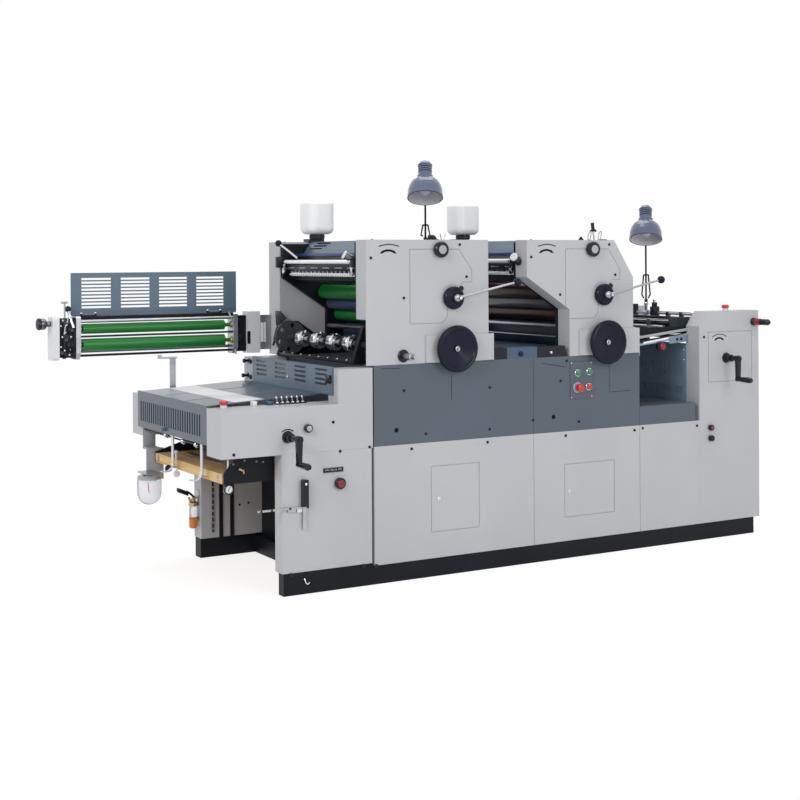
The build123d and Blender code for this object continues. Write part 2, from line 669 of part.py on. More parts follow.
def feeder():
    shape = [(feeder_start, base_height), (feeder_start + feeder_length, base_height),
             (feeder_start + feeder_length, feeder_top), (feeder_start + 60, feeder_top),
             (feeder_start, feeder_top - 78)]
    door = panel((feeder_start + 62, feeder_start + feeder_length - 50), (837, 1108))
    box = profile(shape, (0, feeder_depth)) - seam(door)
    rear = profile(shape, (base_width - feeder_depth, base_width)) - seam(door, base_width, -1)
    save("feeder_boxes", box, rear)
    guard_y = (feeder_depth - 6, base_width - feeder_depth + 6)
    guard = block((feeder_start - 6, feeder_start), guard_y, (cabinet_top, band_top + 30))
    pitch = (guard_y[1] - guard_y[0] - 40) / guard_slot_groups
    for row, height in ((band_top - 145, 66), (band_top - 240, 40)):
        for group in range(guard_slot_groups):
            for i in range(5):
                y = guard_y[0] + 32 + group * pitch + i * 14
                guard -= block((feeder_start - 7, feeder_start + 1), (y, y + 7), (row, row + height))
    save("feeder_guard", guard)
    start = tower_starts[2] + tower_2_length
    near_rail = (feeder_depth, feeder_depth + rail_plate)
    far_rail = (base_width - feeder_depth - rail_plate, base_width - feeder_depth)
    across = (near_rail[1] - 1, far_rail[0] + 1)
    table = block((start + 2, feeder_start + 2), across, (band_top + 96, band_top + 104))
    table += block((start - 6, feeder_start + 40), near_rail, (band_top + 84, band_top + 122))
    table += block((start, feeder_start + 40), far_rail, (band_top + 84, band_top + 122))
    table += block((feeder_start, feeder_start + 12), across, (band_top + 96, band_top + 140))
    save("feed_table", table)
    gap = tower_start + tower_1_length
    deck = block((gap, tower_starts[2] + undercut_length), (60, rear_frame_y), (band_top, band_top + 48))
    deck += block((gap + 108, gap + 288), (0, 61), (band_top, band_top + 55))
    save("unit_gap_deck", deck)


def lamp_feet():
    """Foot, bar height and radius, joint height, rise and heading of each lamp."""
    return {1: ((tie_places[1], base_width * 0.489), tie_height, tie_radius, tie_height + 48, 341, 31.2),
            2: ((feeder_start + 43, base_width * 0.466), band_top + 184, 8, band_top + 251, 484, 39.9)}


def lamps():
    clamps = []
    pin_half, cheek = joint_radius + 1.5, 4
    for n, ((x, y), bar_z, bar_radius, joint_z, rise, heading) in lamp_feet().items():
        forward = Vector(-sin(radians(heading)), -cos(radians(heading)), 0)
        foot = Vector(left + x, front + y, joint_z)
        top = foot + forward * lamp_lean + Vector(0, 0, rise)
        foot_place = Plane(foot, x_dir=forward, z_dir=(0, 0, 1)).location
        top_place = Plane(top, x_dir=forward, z_dir=(0, 0, 1)).location
        pin = Rot(90, 0, 0) * Cylinder(joint_pin_radius, 2 * pin_half)
        clamp = rod(x, bar_z, (y - 18, y + 18), bar_radius + 6)
        clamp += post(x, y, (bar_z, joint_z - 15), joint_radius)
        fork = pin + Pos(0, 0, -17) * Box(18, 2 * pin_half, 6)
        for side in (-1, 1):
            fork += Pos(0, side * (pin_half - cheek / 2), -5) * Box(18, cheek, 28)
        clamp += foot_place * fork
        clamps.append(clamp - rod(x, bar_z, (y - 19, y + 19), bar_radius + 0.05))
        disc = Rot(90, 0, 0) * Cylinder(joint_radius, 2 * (pin_half - cheek) - 1)
        bore = Rot(90, 0, 0) * Cylinder(joint_pin_radius + running_gap, 40)
        arm = Solid.make_cylinder(arm_radius, (top - foot).length, Plane(foot, z_dir=top - foot))
        arm += foot_place * disc
        arm += top_place * disc
        arm -= foot_place * bore
        arm -= top_place * bore
        save(f"lamp_arm_{n}", arm)
        down = forward * sin(radians(lamp_tilt)) - Vector(0, 0, cos(radians(lamp_tilt)))
        neck = top + forward * neck_offset - Vector(0, 0, neck_drop)
        bell = [(0, -78), (17, -76), (27, -69), (33, -58), (37, -56), (37, -50), (34, -48), (34, 4), (41, 6),
                (41, 20), (58, 29), (72, 43), (81, 61), (87, 84), (shade_radius, 110), (shade_radius, 125),
                (shade_radius - 3, 125), (shade_radius - 3, 110), (84, 85), (78, 62), (69, 45), (55, 32), (34, 26),
                (0, 26)]
        shade = turned(bell, neck, down) + top_place * pin
        for side in (-1, 1):
            shade += top_place * (Pos(18, side * (pin_half - cheek / 2), 0) * Box(54, cheek, 16))
        save(f"lamp_shade_{n}", shade)
    save("lamp_clamps", *clamps)


os.makedirs("parts", exist_ok=True)
base()
cabinets()
delivery()
towers()
rollers()
fountains()
controls()
numbering()
swing_unit()
steelwork()
feeder()
lamps()
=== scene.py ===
import json
from math import atan2, cos, floor, pi, radians, sin

import bpy
from mathutils import Matrix, Vector


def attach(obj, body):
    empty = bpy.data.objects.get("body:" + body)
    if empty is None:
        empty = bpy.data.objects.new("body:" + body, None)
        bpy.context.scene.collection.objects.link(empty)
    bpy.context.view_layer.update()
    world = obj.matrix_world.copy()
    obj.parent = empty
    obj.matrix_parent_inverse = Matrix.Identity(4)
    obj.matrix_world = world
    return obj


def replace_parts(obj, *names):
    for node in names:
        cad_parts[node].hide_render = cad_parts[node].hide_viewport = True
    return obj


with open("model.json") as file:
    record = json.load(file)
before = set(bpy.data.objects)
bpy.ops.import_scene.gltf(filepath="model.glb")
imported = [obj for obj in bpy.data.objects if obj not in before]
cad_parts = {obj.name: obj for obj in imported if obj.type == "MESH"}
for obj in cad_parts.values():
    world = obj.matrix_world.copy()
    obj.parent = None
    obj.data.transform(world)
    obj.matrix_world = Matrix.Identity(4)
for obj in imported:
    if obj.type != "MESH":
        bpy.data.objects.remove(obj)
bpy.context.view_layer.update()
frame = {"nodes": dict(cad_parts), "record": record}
print("frame loaded,", len(frame["nodes"]), "pieces")

# Places are in millimetres, as on the press's own drawing: x from the base's delivery end, y from the
# operator's face, z from the floor. spot() puts them in the frame.
press = {"left": -1420.5, "front": -521, "width": 1042, "bandTop": 1015, "towerTop": 1600,
         "towerStart": 429, "towerPitch": 908, "inside": (122, 904), "hoodTop": 858, "boxTop": 848,
         "feederTop": 1218}
mm = 0.001
towerStarts = {n: press["towerStart"] + (n - 1) * press["towerPitch"] for n in (1, 2)}
hingeLine = press["width"] + 3


def spot(x, y, z):
    return Vector((press["left"] + x, press["front"] + y, z)) * mm


# Camera
cameraView = {"place": (-4.1655, -6.3, 1.514), "turn": 30.15, "roll": 0.32, "lens": 64.125, "shift": -0.1775}
bpy.ops.object.camera_add(location=cameraView["place"],
                          rotation=(radians(90), radians(cameraView["roll"]), radians(-cameraView["turn"])))
camera = bpy.context.object
camera.data.sensor_width = 36
camera.data.lens = cameraView["lens"]
camera.data.shift_y = cameraView["shift"]
camera.data.dof.use_dof = False
bpy.context.scene.camera = camera
bpy.context.scene.view_settings.view_transform = "Standard"

# Studio
studio = {"fill": 0.56, "floorPaint": 0.34, "floorLight": 0.78, "bounce": 0.82, "fadeFrom": 2.0,
          "fadeTo": 3.4}
lamps = {  # place, aim, size, watts
    "keyLamp": ((-8.5, -4.5, 5.2), (0, 0, 0.9), 3.6, 300),
    "frontLamp": ((0.8, -8.0, 3.6), (0.2, 0, 0.8), 3.6, 165),
    "topLamp": ((0.6, 1.0, 6.0), (0.2, 0, 0.6), 4.0, 120),
}
for lampName, (lampPlace, aim, size, watts) in lamps.items():
    bpy.ops.object.light_add(type="AREA", location=lampPlace)
    lamp = bpy.context.object
    lamp.name = lampName
    lamp.data.size = size
    lamp.data.energy = watts
    lamp.rotation_euler = (Vector(aim) - Vector(lampPlace)).to_track_quat("-Z", "Y").to_euler()


def added(tree, kind, values=None, **settings):
    # a shader node with its own settings and the values of its inputs
    made = tree.nodes.new("ShaderNode" + kind)
    for name, value in settings.items():
        setattr(made, name, value)
    for name, value in (values or {}).items():
        made.inputs[name].default_value = value
    return made


def connect(tree, wires):
    # each wire is a node with its output, and a node with its input
    for source, outlet, target, inlet in wires:
        tree.links.new(source.outputs[outlet], target.inputs[inlet])


def seenDirectly(tree):
    # 1 where the camera, a reflection or a look through clear plastic meets the backdrop
    rays = added(tree, "LightPath")
    both = added(tree, "Math", operation="MAXIMUM")
    either = added(tree, "Math", operation="MAXIMUM")
    connect(tree, [(rays, "Is Camera Ray", both, 0), (rays, "Is Glossy Ray", both, 1), (both, 0, either, 0),
                   (rays, "Is Transmission Ray", either, 1)])
    return either


world = bpy.data.worlds.new("studioWorld")
bpy.context.scene.world = world
world.use_nodes = True
tree = world.node_tree
tree.nodes.clear()
fill = added(tree, "Background", {"Strength": studio["fill"], "Color": (1, 1, 1, 1)})
seen = added(tree, "Background", {"Color": (1, 1, 1, 1)})
mix = added(tree, "MixShader")
connect(tree, [(seenDirectly(tree), 0, mix, "Fac"), (fill, 0, mix, 1), (seen, 0, mix, 2),
               (mix, 0, added(tree, "OutputWorld"), "Surface")])


def floorMaterial():
    paint = bpy.data.materials.new("floorPaint")
    paint.use_nodes = True
    tree = paint.node_tree
    tree.nodes.clear()
    dull = added(tree, "BsdfDiffuse", {"Color": (studio["floorPaint"],) * 3 + (1,)})
    glow = added(tree, "Emission", {"Strength": studio["floorLight"]})
    shown = added(tree, "AddShader")
    faded = added(tree, "MixShader")
    plain = added(tree, "BsdfDiffuse", {"Color": (studio["bounce"],) * 3 + (1,)})
    choice = added(tree, "MixShader")
    reach = added(tree, "VectorMath", operation="LENGTH")
    fade = added(tree, "MapRange", {"From Min": studio["fadeFrom"], "From Max": studio["fadeTo"]})
    connect(tree, [(added(tree, "TexCoord"), "Object", reach, 0), (reach, "Value", fade, "Value"),
                   (dull, 0, shown, 0), (glow, 0, shown, 1), (fade, "Result", faded, "Fac"),
                   (shown, 0, faded, 1), (added(tree, "Emission"), 0, faded, 2),
                   (seenDirectly(tree), 0, choice, "Fac"), (plain, 0, choice, 1), (faded, 0, choice, 2),
                   (choice, 0, added(tree, "OutputMaterial"), "Surface")])
    return paint


bpy.ops.object.select_all(action="DESELECT")
bpy.ops.mesh.primitive_plane_add(size=60, location=(0, 0, 0))
ground = bpy.context.object
ground.name = "studioFloor"
ground.data.materials.append(floorMaterial())
print("camera, lamps and floor set")


# Finishes. The first finish of a slot is the one that the frame's own pieces of that slot get.
finishes = {}
slotFinishes = {}


def finish(name, slot, colour, rough=0.4, metal=0.0, coat=0.0, edge=0.0, cloud=0.05, cloudSize=3.0,
           peel=0.06, peelSize=500, roughSpan=0.06, wear=None, through=0.0, stretch=(1, 1, 1), grain=None,
           shine=0.5):
    # shine is how strongly the surface mirrors the studio, cloud the share by which the colour drifts,
    # peel the paint's orange peel, wear the colour of rubbed edges and grain a second colour
    paint = bpy.data.materials.new(name)
    paint.use_nodes = True
    tree = paint.node_tree
    body = tree.nodes["Principled BSDF"]
    for label, value in {"Metallic": metal, "Coat Weight": coat, "Coat Roughness": 0.1,
                         "Transmission Weight": through, "Specular IOR Level": shine}.items():
        body.inputs[label].default_value = value
    turn = added(tree, "Mapping", {"Scale": stretch})
    drift = added(tree, "TexNoise", {"Scale": cloudSize, "Detail": 6})
    ramp = added(tree, "ValToRGB")
    dark, light = ramp.color_ramp.elements
    dark.position = 0.32
    light.position = 0.68
    dark.color = (*(grain or [c * (1 - cloud) for c in colour]), 1)
    light.color = (*[min(1, c * (1 + cloud)) for c in colour], 1)
    uneven = added(tree, "MapRange", {"To Min": max(0.02, rough - roughSpan), "To Max": rough + roughSpan})
    fine = added(tree, "TexNoise", {"Scale": peelSize})
    lift = added(tree, "Bump", {"Strength": peel, "Distance": 0.0005})
    connect(tree, [(added(tree, "TexCoord"), "Object", turn, "Vector"), (turn, "Vector", drift, "Vector"),
                   (turn, "Vector", fine, "Vector"), (drift, "Fac", ramp, "Fac"),
                   (drift, "Fac", uneven, "Value"), (uneven, "Result", body, "Roughness"),
                   (fine, "Fac", lift, "Height"), (lift, "Normal", body, "Normal")])
    surface = (ramp, "Color")
    if edge:
        soft = added(tree, "Bevel", {"Radius": edge}, samples=4)
        connect(tree, [(soft, "Normal", lift, "Normal")])
    if edge and wear:
        bend = added(tree, "VectorMath", operation="DOT_PRODUCT")
        rubbed = added(tree, "MapRange", {"From Min": 0.97, "From Max": 0.85})
        patchy = added(tree, "Math", operation="MULTIPLY")
        bare = added(tree, "Mix", {"B": (*wear, 1)}, data_type="RGBA")
        connect(tree, [(soft, "Normal", bend, 0), (added(tree, "NewGeometry"), "Normal", bend, 1),
                       (bend, "Value", rubbed, "Value"), (rubbed, "Result", patchy, 0),
                       (drift, "Fac", patchy, 1), (patchy, 0, bare, "Factor"), (*surface, bare, "A")])
        surface = (bare, "Result")
    connect(tree, [(*surface, body, "Base Color")])
    finishes[name] = paint
    slotFinishes.setdefault(slot, name)


finish("panelPaint", "panel_grey", (0.49, 0.497, 0.52), 0.38, edge=0.003, cloud=0.025, peel=0.1,
       wear=(0.6, 0.6, 0.61), shine=0.3)
finish("bandPaint", "band_grey", (0.1, 0.122, 0.152), 0.42, edge=0.003, peel=0.1, wear=(0.19, 0.21, 0.24),
       shine=0.25)
finish("coverPaint", "cover_blue", (0.1, 0.155, 0.21), 0.3, coat=0.25, edge=0.002, peel=0.06,
       wear=(0.24, 0.31, 0.38), shine=0.3)
finish("hoodPaint", "cover_blue", (0.05, 0.076, 0.106), 0.3, coat=0.3, edge=0.002, peel=0.04,
       wear=(0.16, 0.21, 0.26), shine=0.3)
# the cover paint made darker for the deck between the towers, where shade falls: painted shade
finish("deckPaintedShade", "cover_blue", (0.06, 0.095, 0.15), 0.34, coat=0.2, edge=0.002, peel=0.05,
       wear=(0.18, 0.24, 0.31), shine=0.3)
finish("guardPaint", "guard_teal", (0.125, 0.185, 0.255), 0.4, edge=0.0015, wear=(0.28, 0.34, 0.39),
       shine=0.25)
finish("blackPaint", "black_paint", (0.008, 0.0095, 0.014), 0.4, edge=0.002, cloud=0.25, peel=0.14,
       wear=(0.04, 0.04, 0.045), shine=0.14)
finish("brightSteel", "bright_steel", (0.4, 0.41, 0.44), 0.34, metal=1.0, edge=0.001, cloud=0.12, peel=0.05,
       stretch=(1, 6, 6), peelSize=300)
finish("palePlate", "panel_grey", (0.4, 0.41, 0.44), 0.42, edge=0.001, cloud=0.08, peel=0.05, shine=0.3)
finish("darkSteel", "bright_steel", (0.14, 0.14, 0.15), 0.24, metal=1.0, cloud=0.2, peel=0.04,
       stretch=(1, 6, 6), peelSize=300)
finish("chrome", "bright_steel", (0.62, 0.63, 0.67), 0.13, metal=1.0, cloud=0.08, peel=0.02, roughSpan=0.05)
finish("blackGloss", "black_plastic", (0.007, 0.008, 0.017), 0.22, coat=0.25, edge=0.0015, cloud=0.2,
       peel=0.03, shine=0.2)
finish("navyGloss", "black_plastic", (0.008, 0.011, 0.024), 0.28, coat=0.06, edge=0.0015, cloud=0.15,
       peel=0.03, shine=0.12)
finish("blackSteel", "black_paint", (0.02, 0.022, 0.032), 0.34, metal=0.3, cloud=0.25, peel=0.1, shine=0.2)
finish("castIron", "black_paint", (0.06, 0.064, 0.075), 0.5, edge=0.001, cloud=0.25, cloudSize=9, peel=0.5,
       peelSize=240, wear=(0.2, 0.2, 0.21), shine=0.3)
finish("clearPlastic", "clear_plastic", (0.9, 0.905, 0.91), 0.3, edge=0.003, cloud=0.03, peel=0.04)
finish("jarGlass", "clear_plastic", (0.93, 0.94, 0.98), 0.14, cloud=0.03, peel=0.02, through=0.72,
       roughSpan=0.03)
finish("greenPlastic", "green_plastic", (0.003, 0.2, 0.09), 0.22, coat=0.5, peel=0.02)
finish("redPlastic", "red_plastic", (0.62, 0.02, 0.018), 0.22, coat=0.5, peel=0.02, shine=0.3)
finish("darkRed", "red_plastic", (0.24, 0.016, 0.035), 0.25, coat=0.3, peel=0.02, shine=0.3)
finish("orangePlastic", "red_plastic", (0.78, 0.24, 0.03), 0.35, peel=0.03)
# near-white and hardly metallic, so that shaded steel keys, sleeves and bars look as bright as shining steel:
# a painted reflection
finish("steelPaintedShine", "bright_steel", (0.93, 0.94, 0.96), 0.26, metal=0.1, coat=0.3, cloud=0.05, peel=0.03)
# the guard paint made lighter for the feeder's guard, which stands in shade: painted light
finish("feederGuardPaintedLight", "guard_teal", (0.19, 0.28, 0.37), 0.4, edge=0.0015, wear=(0.36, 0.44, 0.5),
       shine=0.25)
finish("feedBlue", "cover_blue", (0.2, 0.25, 0.32), 0.34, edge=0.001, cloud=0.06, peel=0.04, shine=0.3)
finish("brass", "bright_steel", (0.5, 0.37, 0.17), 0.32, metal=1.0, cloud=0.2, peel=0.06)
finish("whitePlastic", "clear_plastic", (0.7, 0.71, 0.73), 0.35, coat=0.2, cloud=0.03, peel=0.03)
finish("paleBlue", "cover_blue", (0.34, 0.43, 0.6), 0.32, edge=0.001, cloud=0.06, peel=0.04)
finish("navyPaint", "cover_blue", (0.025, 0.045, 0.17), 0.3, coat=0.3, cloud=0.15, peel=0.05, shine=0.3)
finish("blanketRubber", "blanket_rubber", (0.05, 0.08, 0.14), 0.46, cloud=0.12, peel=0.08, shine=0.3)
finish("greenRubber", "roller_green", (0.011, 0.175, 0.03), 0.36, coat=0.1, cloud=0.14, peel=0.03,
       stretch=(1, 9, 9), shine=0.3)
finish("blueRubber", "roller_blue", (0.035, 0.05, 0.12), 0.36, coat=0.2, cloud=0.12, peel=0.03, shine=0.3)
finish("slateRubber", "black_paint", (0.045, 0.047, 0.065), 0.32, coat=0.3, cloud=0.14, peel=0.03)
finish("brownRubber", "roller_brown", (0.05, 0.02, 0.018), 0.36, coat=0.12, cloud=0.14, peel=0.03,
       shine=0.25)
finish("boardWood", "board_wood", (0.8, 0.57, 0.28), 0.58, grain=(0.62, 0.39, 0.16), cloudSize=3.2,
       stretch=(16, 1.2, 46), edge=0.002, peel=0.3, peelSize=60, wear=(0.42, 0.26, 0.1), shine=0.2)
finish("lampPaint", "lamp_grey", (0.07, 0.095, 0.165), 0.24, coat=0.8, edge=0.0005, cloud=0.1, peel=0.03)
finish("lampLiner", "clear_plastic", (0.66, 0.67, 0.72), 0.35, cloud=0.03, peel=0.03)
# this near-black finish is painted shade in holes, slots and a notch, and also the real black of the printed
# scale marks
finish("paintedShadeAndPrint", "black_paint", (0.006, 0.007, 0.009), 0.7, cloud=0.2, peel=0.1, shine=0.1)
ownFinishes = {"oil_jar": "jarGlass", "numbering_disc": "castIron", "middle_ink_roller_2": "slateRubber",
               "plate_cylinder_2": "darkSteel", "delivery_hood": "hoodPaint", "handwheel_1": "navyGloss",
               "handwheel_2": "navyGloss", "unit_gap_deck": "deckPaintedShade", "feeder_guard": "feederGuardPaintedLight",
               "swing_unit_end_covers": "whitePlastic", "impression_hub_1": "navyGloss",
               "impression_hub_2": "navyGloss"}
for subpart in frame["record"]["subparts"]:
    node = frame["nodes"][subpart["node"]]
    paint = finishes[ownFinishes.get(subpart["node"], slotFinishes[subpart["material_slot"]])]
    for holder in node.material_slots:
        holder.material = paint
    if not node.material_slots:
        node.data.materials.append(paint)
print("finishes on the frame")


# Modelling
def only(piece):
    bpy.ops.object.select_all(action="DESELECT")
    piece.select_set(True)
    bpy.context.view_layer.objects.active = piece


def settle(piece):
    only(piece)
    bpy.ops.object.transform_apply(location=True, rotation=True, scale=True)
    return piece


def soften(piece, width, segments=2):
    only(piece)
    ease = piece.modifiers.new("ease", "BEVEL")
    ease.width = width * mm
    ease.segments = segments
    ease.limit_method = "ANGLE"
    ease.angle_limit = radians(35)
    bpy.ops.object.modifier_apply(modifier="ease")
    return piece


def slab(low, high, round=1.5):
    bpy.ops.object.select_all(action="DESELECT")
    near, far = spot(*low), spot(*high)
    bpy.ops.mesh.primitive_cube_add(size=1, location=(near + far) / 2)
    piece = bpy.context.object
    piece.scale = [abs(c) for c in far - near]
    return soften(settle(piece), round) if round else settle(piece)


def turned(rings, at, towards, sides=32):
    # rings are (radius, distance along the axis); the last one closes the end
    bpy.ops.object.select_all(action="DESELECT")
    bpy.ops.mesh.primitive_circle_add(vertices=sides, radius=rings[0][0] * mm, fill_type="NGON")
    piece = bpy.context.object
    bpy.ops.object.mode_set(mode="EDIT")
    bpy.ops.transform.translate(value=(0, 0, rings[0][1] * mm))
    for (oldRadius, oldAlong), (radius, along) in zip(rings, rings[1:]):
        bpy.ops.mesh.extrude_region_move(TRANSFORM_OT_translate={"value": (0, 0, (along - oldAlong) * mm)})
        ratio = radius / oldRadius
        bpy.ops.transform.resize(value=(ratio, ratio, 1), center_override=(0, 0, along * mm))
    bpy.ops.mesh.select_all(action="SELECT")
    bpy.ops.mesh.normals_make_consistent(inside=False)
    bpy.ops.object.mode_set(mode="OBJECT")
    heading = Vector(towards).normalized()
    piece.matrix_world = Matrix.Translation(spot(*at)) @ heading.to_track_quat("Z", "Y").to_matrix().to_4x4()
    return settle(piece)


def bar(points, radius, smooth=False, thick=3):
    # a round wire through the points, smooth as a spring or straight from corner to corner
    wire = bpy.data.curves.new("bar", "CURVE")
    wire.dimensions = "3D"
    wire.bevel_depth = radius * mm
    wire.bevel_resolution = thick
    wire.use_fill_caps = True
    line = wire.splines.new("NURBS" if smooth else "POLY")
    line.points.add(len(points) - 1)
    for knot, point in zip(line.points, points):
        knot.co = (*spot(*point), 1)
    if smooth:
        line.order_u = 3
        line.use_endpoint_u = True
        line.resolution_u = 6
    piece = bpy.data.objects.new("bar", wire)
    bpy.context.collection.objects.link(piece)
    only(piece)
    bpy.ops.object.convert(target="MESH")
    return bpy.context.object


def flattened(piece, share, along="y", at=0):
    # pressed flat against a face, as a printed or stamped line
    only(piece)
    squash = [share if axis == along else 1 for axis in "xyz"]
    bpy.ops.object.mode_set(mode="EDIT")
    bpy.ops.mesh.select_all(action="SELECT")
    bpy.ops.transform.resize(value=squash, center_override=spot(0, at, 0) if along == "y" else spot(0, 0, at))
    bpy.ops.object.mode_set(mode="OBJECT")
    return piece


def leaning(piece, start, rise):
    # tipped along x, so that it climbs by rise for each millimetre past start
    edge = spot(start, 0, 0).x
    for corner in piece.data.vertices:
        corner.co.z += (corner.co.x - edge) * rise
    return piece


def outwards(piece):
    only(piece)
    bpy.ops.object.mode_set(mode="EDIT")
    bpy.ops.mesh.select_all(action="SELECT")
    bpy.ops.mesh.normals_make_consistent(inside=False)
    bpy.ops.object.mode_set(mode="OBJECT")
    return piece


def joined(pieces):
    bpy.ops.object.select_all(action="DESELECT")
    for piece in pieces:
        piece.select_set(True)
    bpy.context.view_layer.objects.active = pieces[0]
    if len(pieces) > 1:
        bpy.ops.object.join()
    return bpy.context.object


def repeat(piece, places):
    # copies with their own meshes of a piece that was modelled at (0, 0, 0)
    copies = []
    for place in places:
        twin = piece.copy()
        twin.data = piece.data.copy()
        twin.data.transform(Matrix.Translation(Vector(place) * mm))
        bpy.context.collection.objects.link(twin)
        copies.append(twin)
    bpy.data.objects.remove(piece)
    return joined(copies)


def toothed(piece, axis, centre, grow):
    # every second sector of the rim is drawn out into a tooth; the round end has a corner for each sector
    only(piece)
    bpy.ops.object.mode_set(mode="EDIT")
    bpy.ops.mesh.select_all(action="DESELECT")
    bpy.ops.object.mode_set(mode="OBJECT")
    sector = 2 * pi / max(len(face.vertices) for face in piece.data.polygons)
    one, other = [i for i in range(3) if i != axis]
    for face in piece.data.polygons:
        out = face.center - spot(*centre)
        if abs(face.normal[axis]) < 0.2 and floor(atan2(out[one], out[other]) / sector) % 2 == 0:
            face.select = True
    bpy.ops.object.mode_set(mode="EDIT")
    bpy.ops.mesh.select_mode(type="FACE")
    bpy.ops.mesh.extrude_region_move(TRANSFORM_OT_translate={"value": (0, 0, 0)})
    size = [1 if i == axis else grow for i in range(3)]
    bpy.ops.transform.resize(value=size, center_override=spot(*centre))
    bpy.ops.object.mode_set(mode="OBJECT")
    return piece


def keep(pieces, name, paint, body="press_body", angle=35):
    piece = joined(pieces)
    piece.name = piece.data.name = name
    piece.data.materials.clear()
    piece.data.materials.append(finishes[paint])
    only(piece)
    bpy.ops.object.shade_smooth_by_angle(angle=radians(angle))
    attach(piece, body)
    return piece


toOperator = (0, -1, 0)
toDrive = (0, 1, 0)
toDelivery = (-1, 0, 0)
toFeeder = (1, 0, 0)
upwards = (0, 0, 1)
middle = (0, 0, 0)


def arc(x, z, radius, half, y=0, count=7):
    turns = [half * (2 * i / (count - 1) - 1) for i in range(count)]
    return [(x + radius * sin(turn), y, z + radius * cos(turn)) for turn in turns]


def onFace(places, y=0):
    return [(x, y, z) for x, z in places]


def across(x, z, radius, ends):
    # a round bar from one side of the press towards the other
    return bar([(x, y, z) for y in ends], radius)


def lone(name, paint, rings, at, towards=toOperator, sides=28, body="press_body"):
    return keep([turned(rings, at, towards, sides)], name, paint, body)


def row(name, paint, rings, places, towards=toOperator, sides=14, body="press_body"):
    # one turned piece, repeated at all its places
    return keep([repeat(turned(rings, middle, towards, sides), places)], name, paint, body)


# The operator's face
doorLocks = {"rings": [(10, 0), (10, 2), (8.5, 3.5), (5, 3.5), (4.5, 2), (4, 2)],
             "places": [(822, 367), (1592, 336)]}


def screwPlaces():
    towers = [(455, 1515), (944, 1577), (631, 1326), (982, 1422)]
    plain = {"band": [(629, 891), (1113, 881), (748, 681), (1110, 679), (1652, 682), (1578, 992), (1539, 893),
                      (1369, 707)],
             "cabinets": [(669, 615), (1098, 616), (1569, 616), (2011, 615), (2066, 622), (2437, 611)],
             "boxes": [(-238, 653), (254, 767), (443, 640), (289, 631), (2490, 1082)]}
    return [(x + n * press["towerPitch"], z) for n in (0, 1) for x, z in towers] + sum(plain.values(), [])


def panelScrews():
    screws = {"radius": 7, "plate": [(1605, 979), (1731, 979), (1605, 807), (1731, 807)],
              "deck": {"deckKnob": (1297, 1038, 13, "blackGloss"), "deckScrew": (1477, 1039, 8, "chrome")}}
    r = screws["radius"]
    row("panelScrews", "blackSteel", [(r, 0), (r, 2), (r * 0.84, 3.4), (r * 0.5, 3.4), (r * 0.46, 1.2)],
        onFace(screwPlaces()))
    row("plateScrews", "chrome", [(4, 0), (4, 1.2), (3, 2), (1.5, 2), (1.2, 1)], onFace(screws["plate"], -4),
        sides=12)
    for name, (x, z, r, paint) in screws["deck"].items():
        lone(name, paint, [(r, 0), (r, 6), (r * 0.8, 10), (r * 0.3, 11)], (x, 0, z), sides=20)


def rearFace():
    # the drive side is finished as the operator's side is, with louvres for the motor
    rear = {"tower": 1060, "unit": 1042, "louvres": [(640, 300), (1640, 300)], "rows": 7, "from": 300,
            "feeder": 2000}
    places = [(x, rear["tower"] if z > press["bandTop"] and x < rear["feeder"] else rear["unit"], z)
              for x, z in screwPlaces() if x > rear["from"]]
    row("rearScrews", "blackSteel", [(7, 0), (7, 2), (6, 3.4), (3.4, 3.4), (3.2, 1.2)], places, toDrive)
    louvre = slab((-60, -3, -4), (60, 5, 4), 0)
    for corner in louvre.data.vertices:
        if corner.co.y > spot(0, 1, 0).y and corner.co.z > 0:
            corner.co.y = spot(0, -1, 0).y
    places = [(x, rear["unit"], z + 22 * i) for x, z in rear["louvres"] for i in range(rear["rows"])]
    keep([repeat(soften(louvre, 1), places)], "rearLouvres", "panelPaint")
    row("rearLocks", "chrome", doorLocks["rings"], onFace(doorLocks["places"], rear["unit"]), toDrive, 20)


def bandMarks():
    marks = {"width": 1.6, "holes": [(587, 708), (1494, 715)],
             "lines": [[(505, 998), (609, 997)], [(893, 952), (893, 833)], [(1426, 986), (1574, 960)],
                       [(1848, 975), (1847, 821), (1988, 823)]]}
    lines = [bar(onFace(line), marks["width"]) for line in marks["lines"]]
    keep([flattened(joined(lines), 0.4)], "bandLines", "blackSteel")
    # near-black discs on the band's two holes: painted shade
    row("bandHoleShade", "paintedShadeAndPrint", [(11, 0), (11, 1.2), (9, 1.6), (8, 1.2), (7.5, 0.2)],
        onFace(marks["holes"]), sides=20)
    lock = turned(doorLocks["rings"], middle, toOperator, 20)
    slot = slab((-1.2, -3.4, -4), (1.2, -1.5, 4), 0.3)
    keep([repeat(joined([lock, slot]), onFace(doorLocks["places"]))], "doorLocks", "chrome")


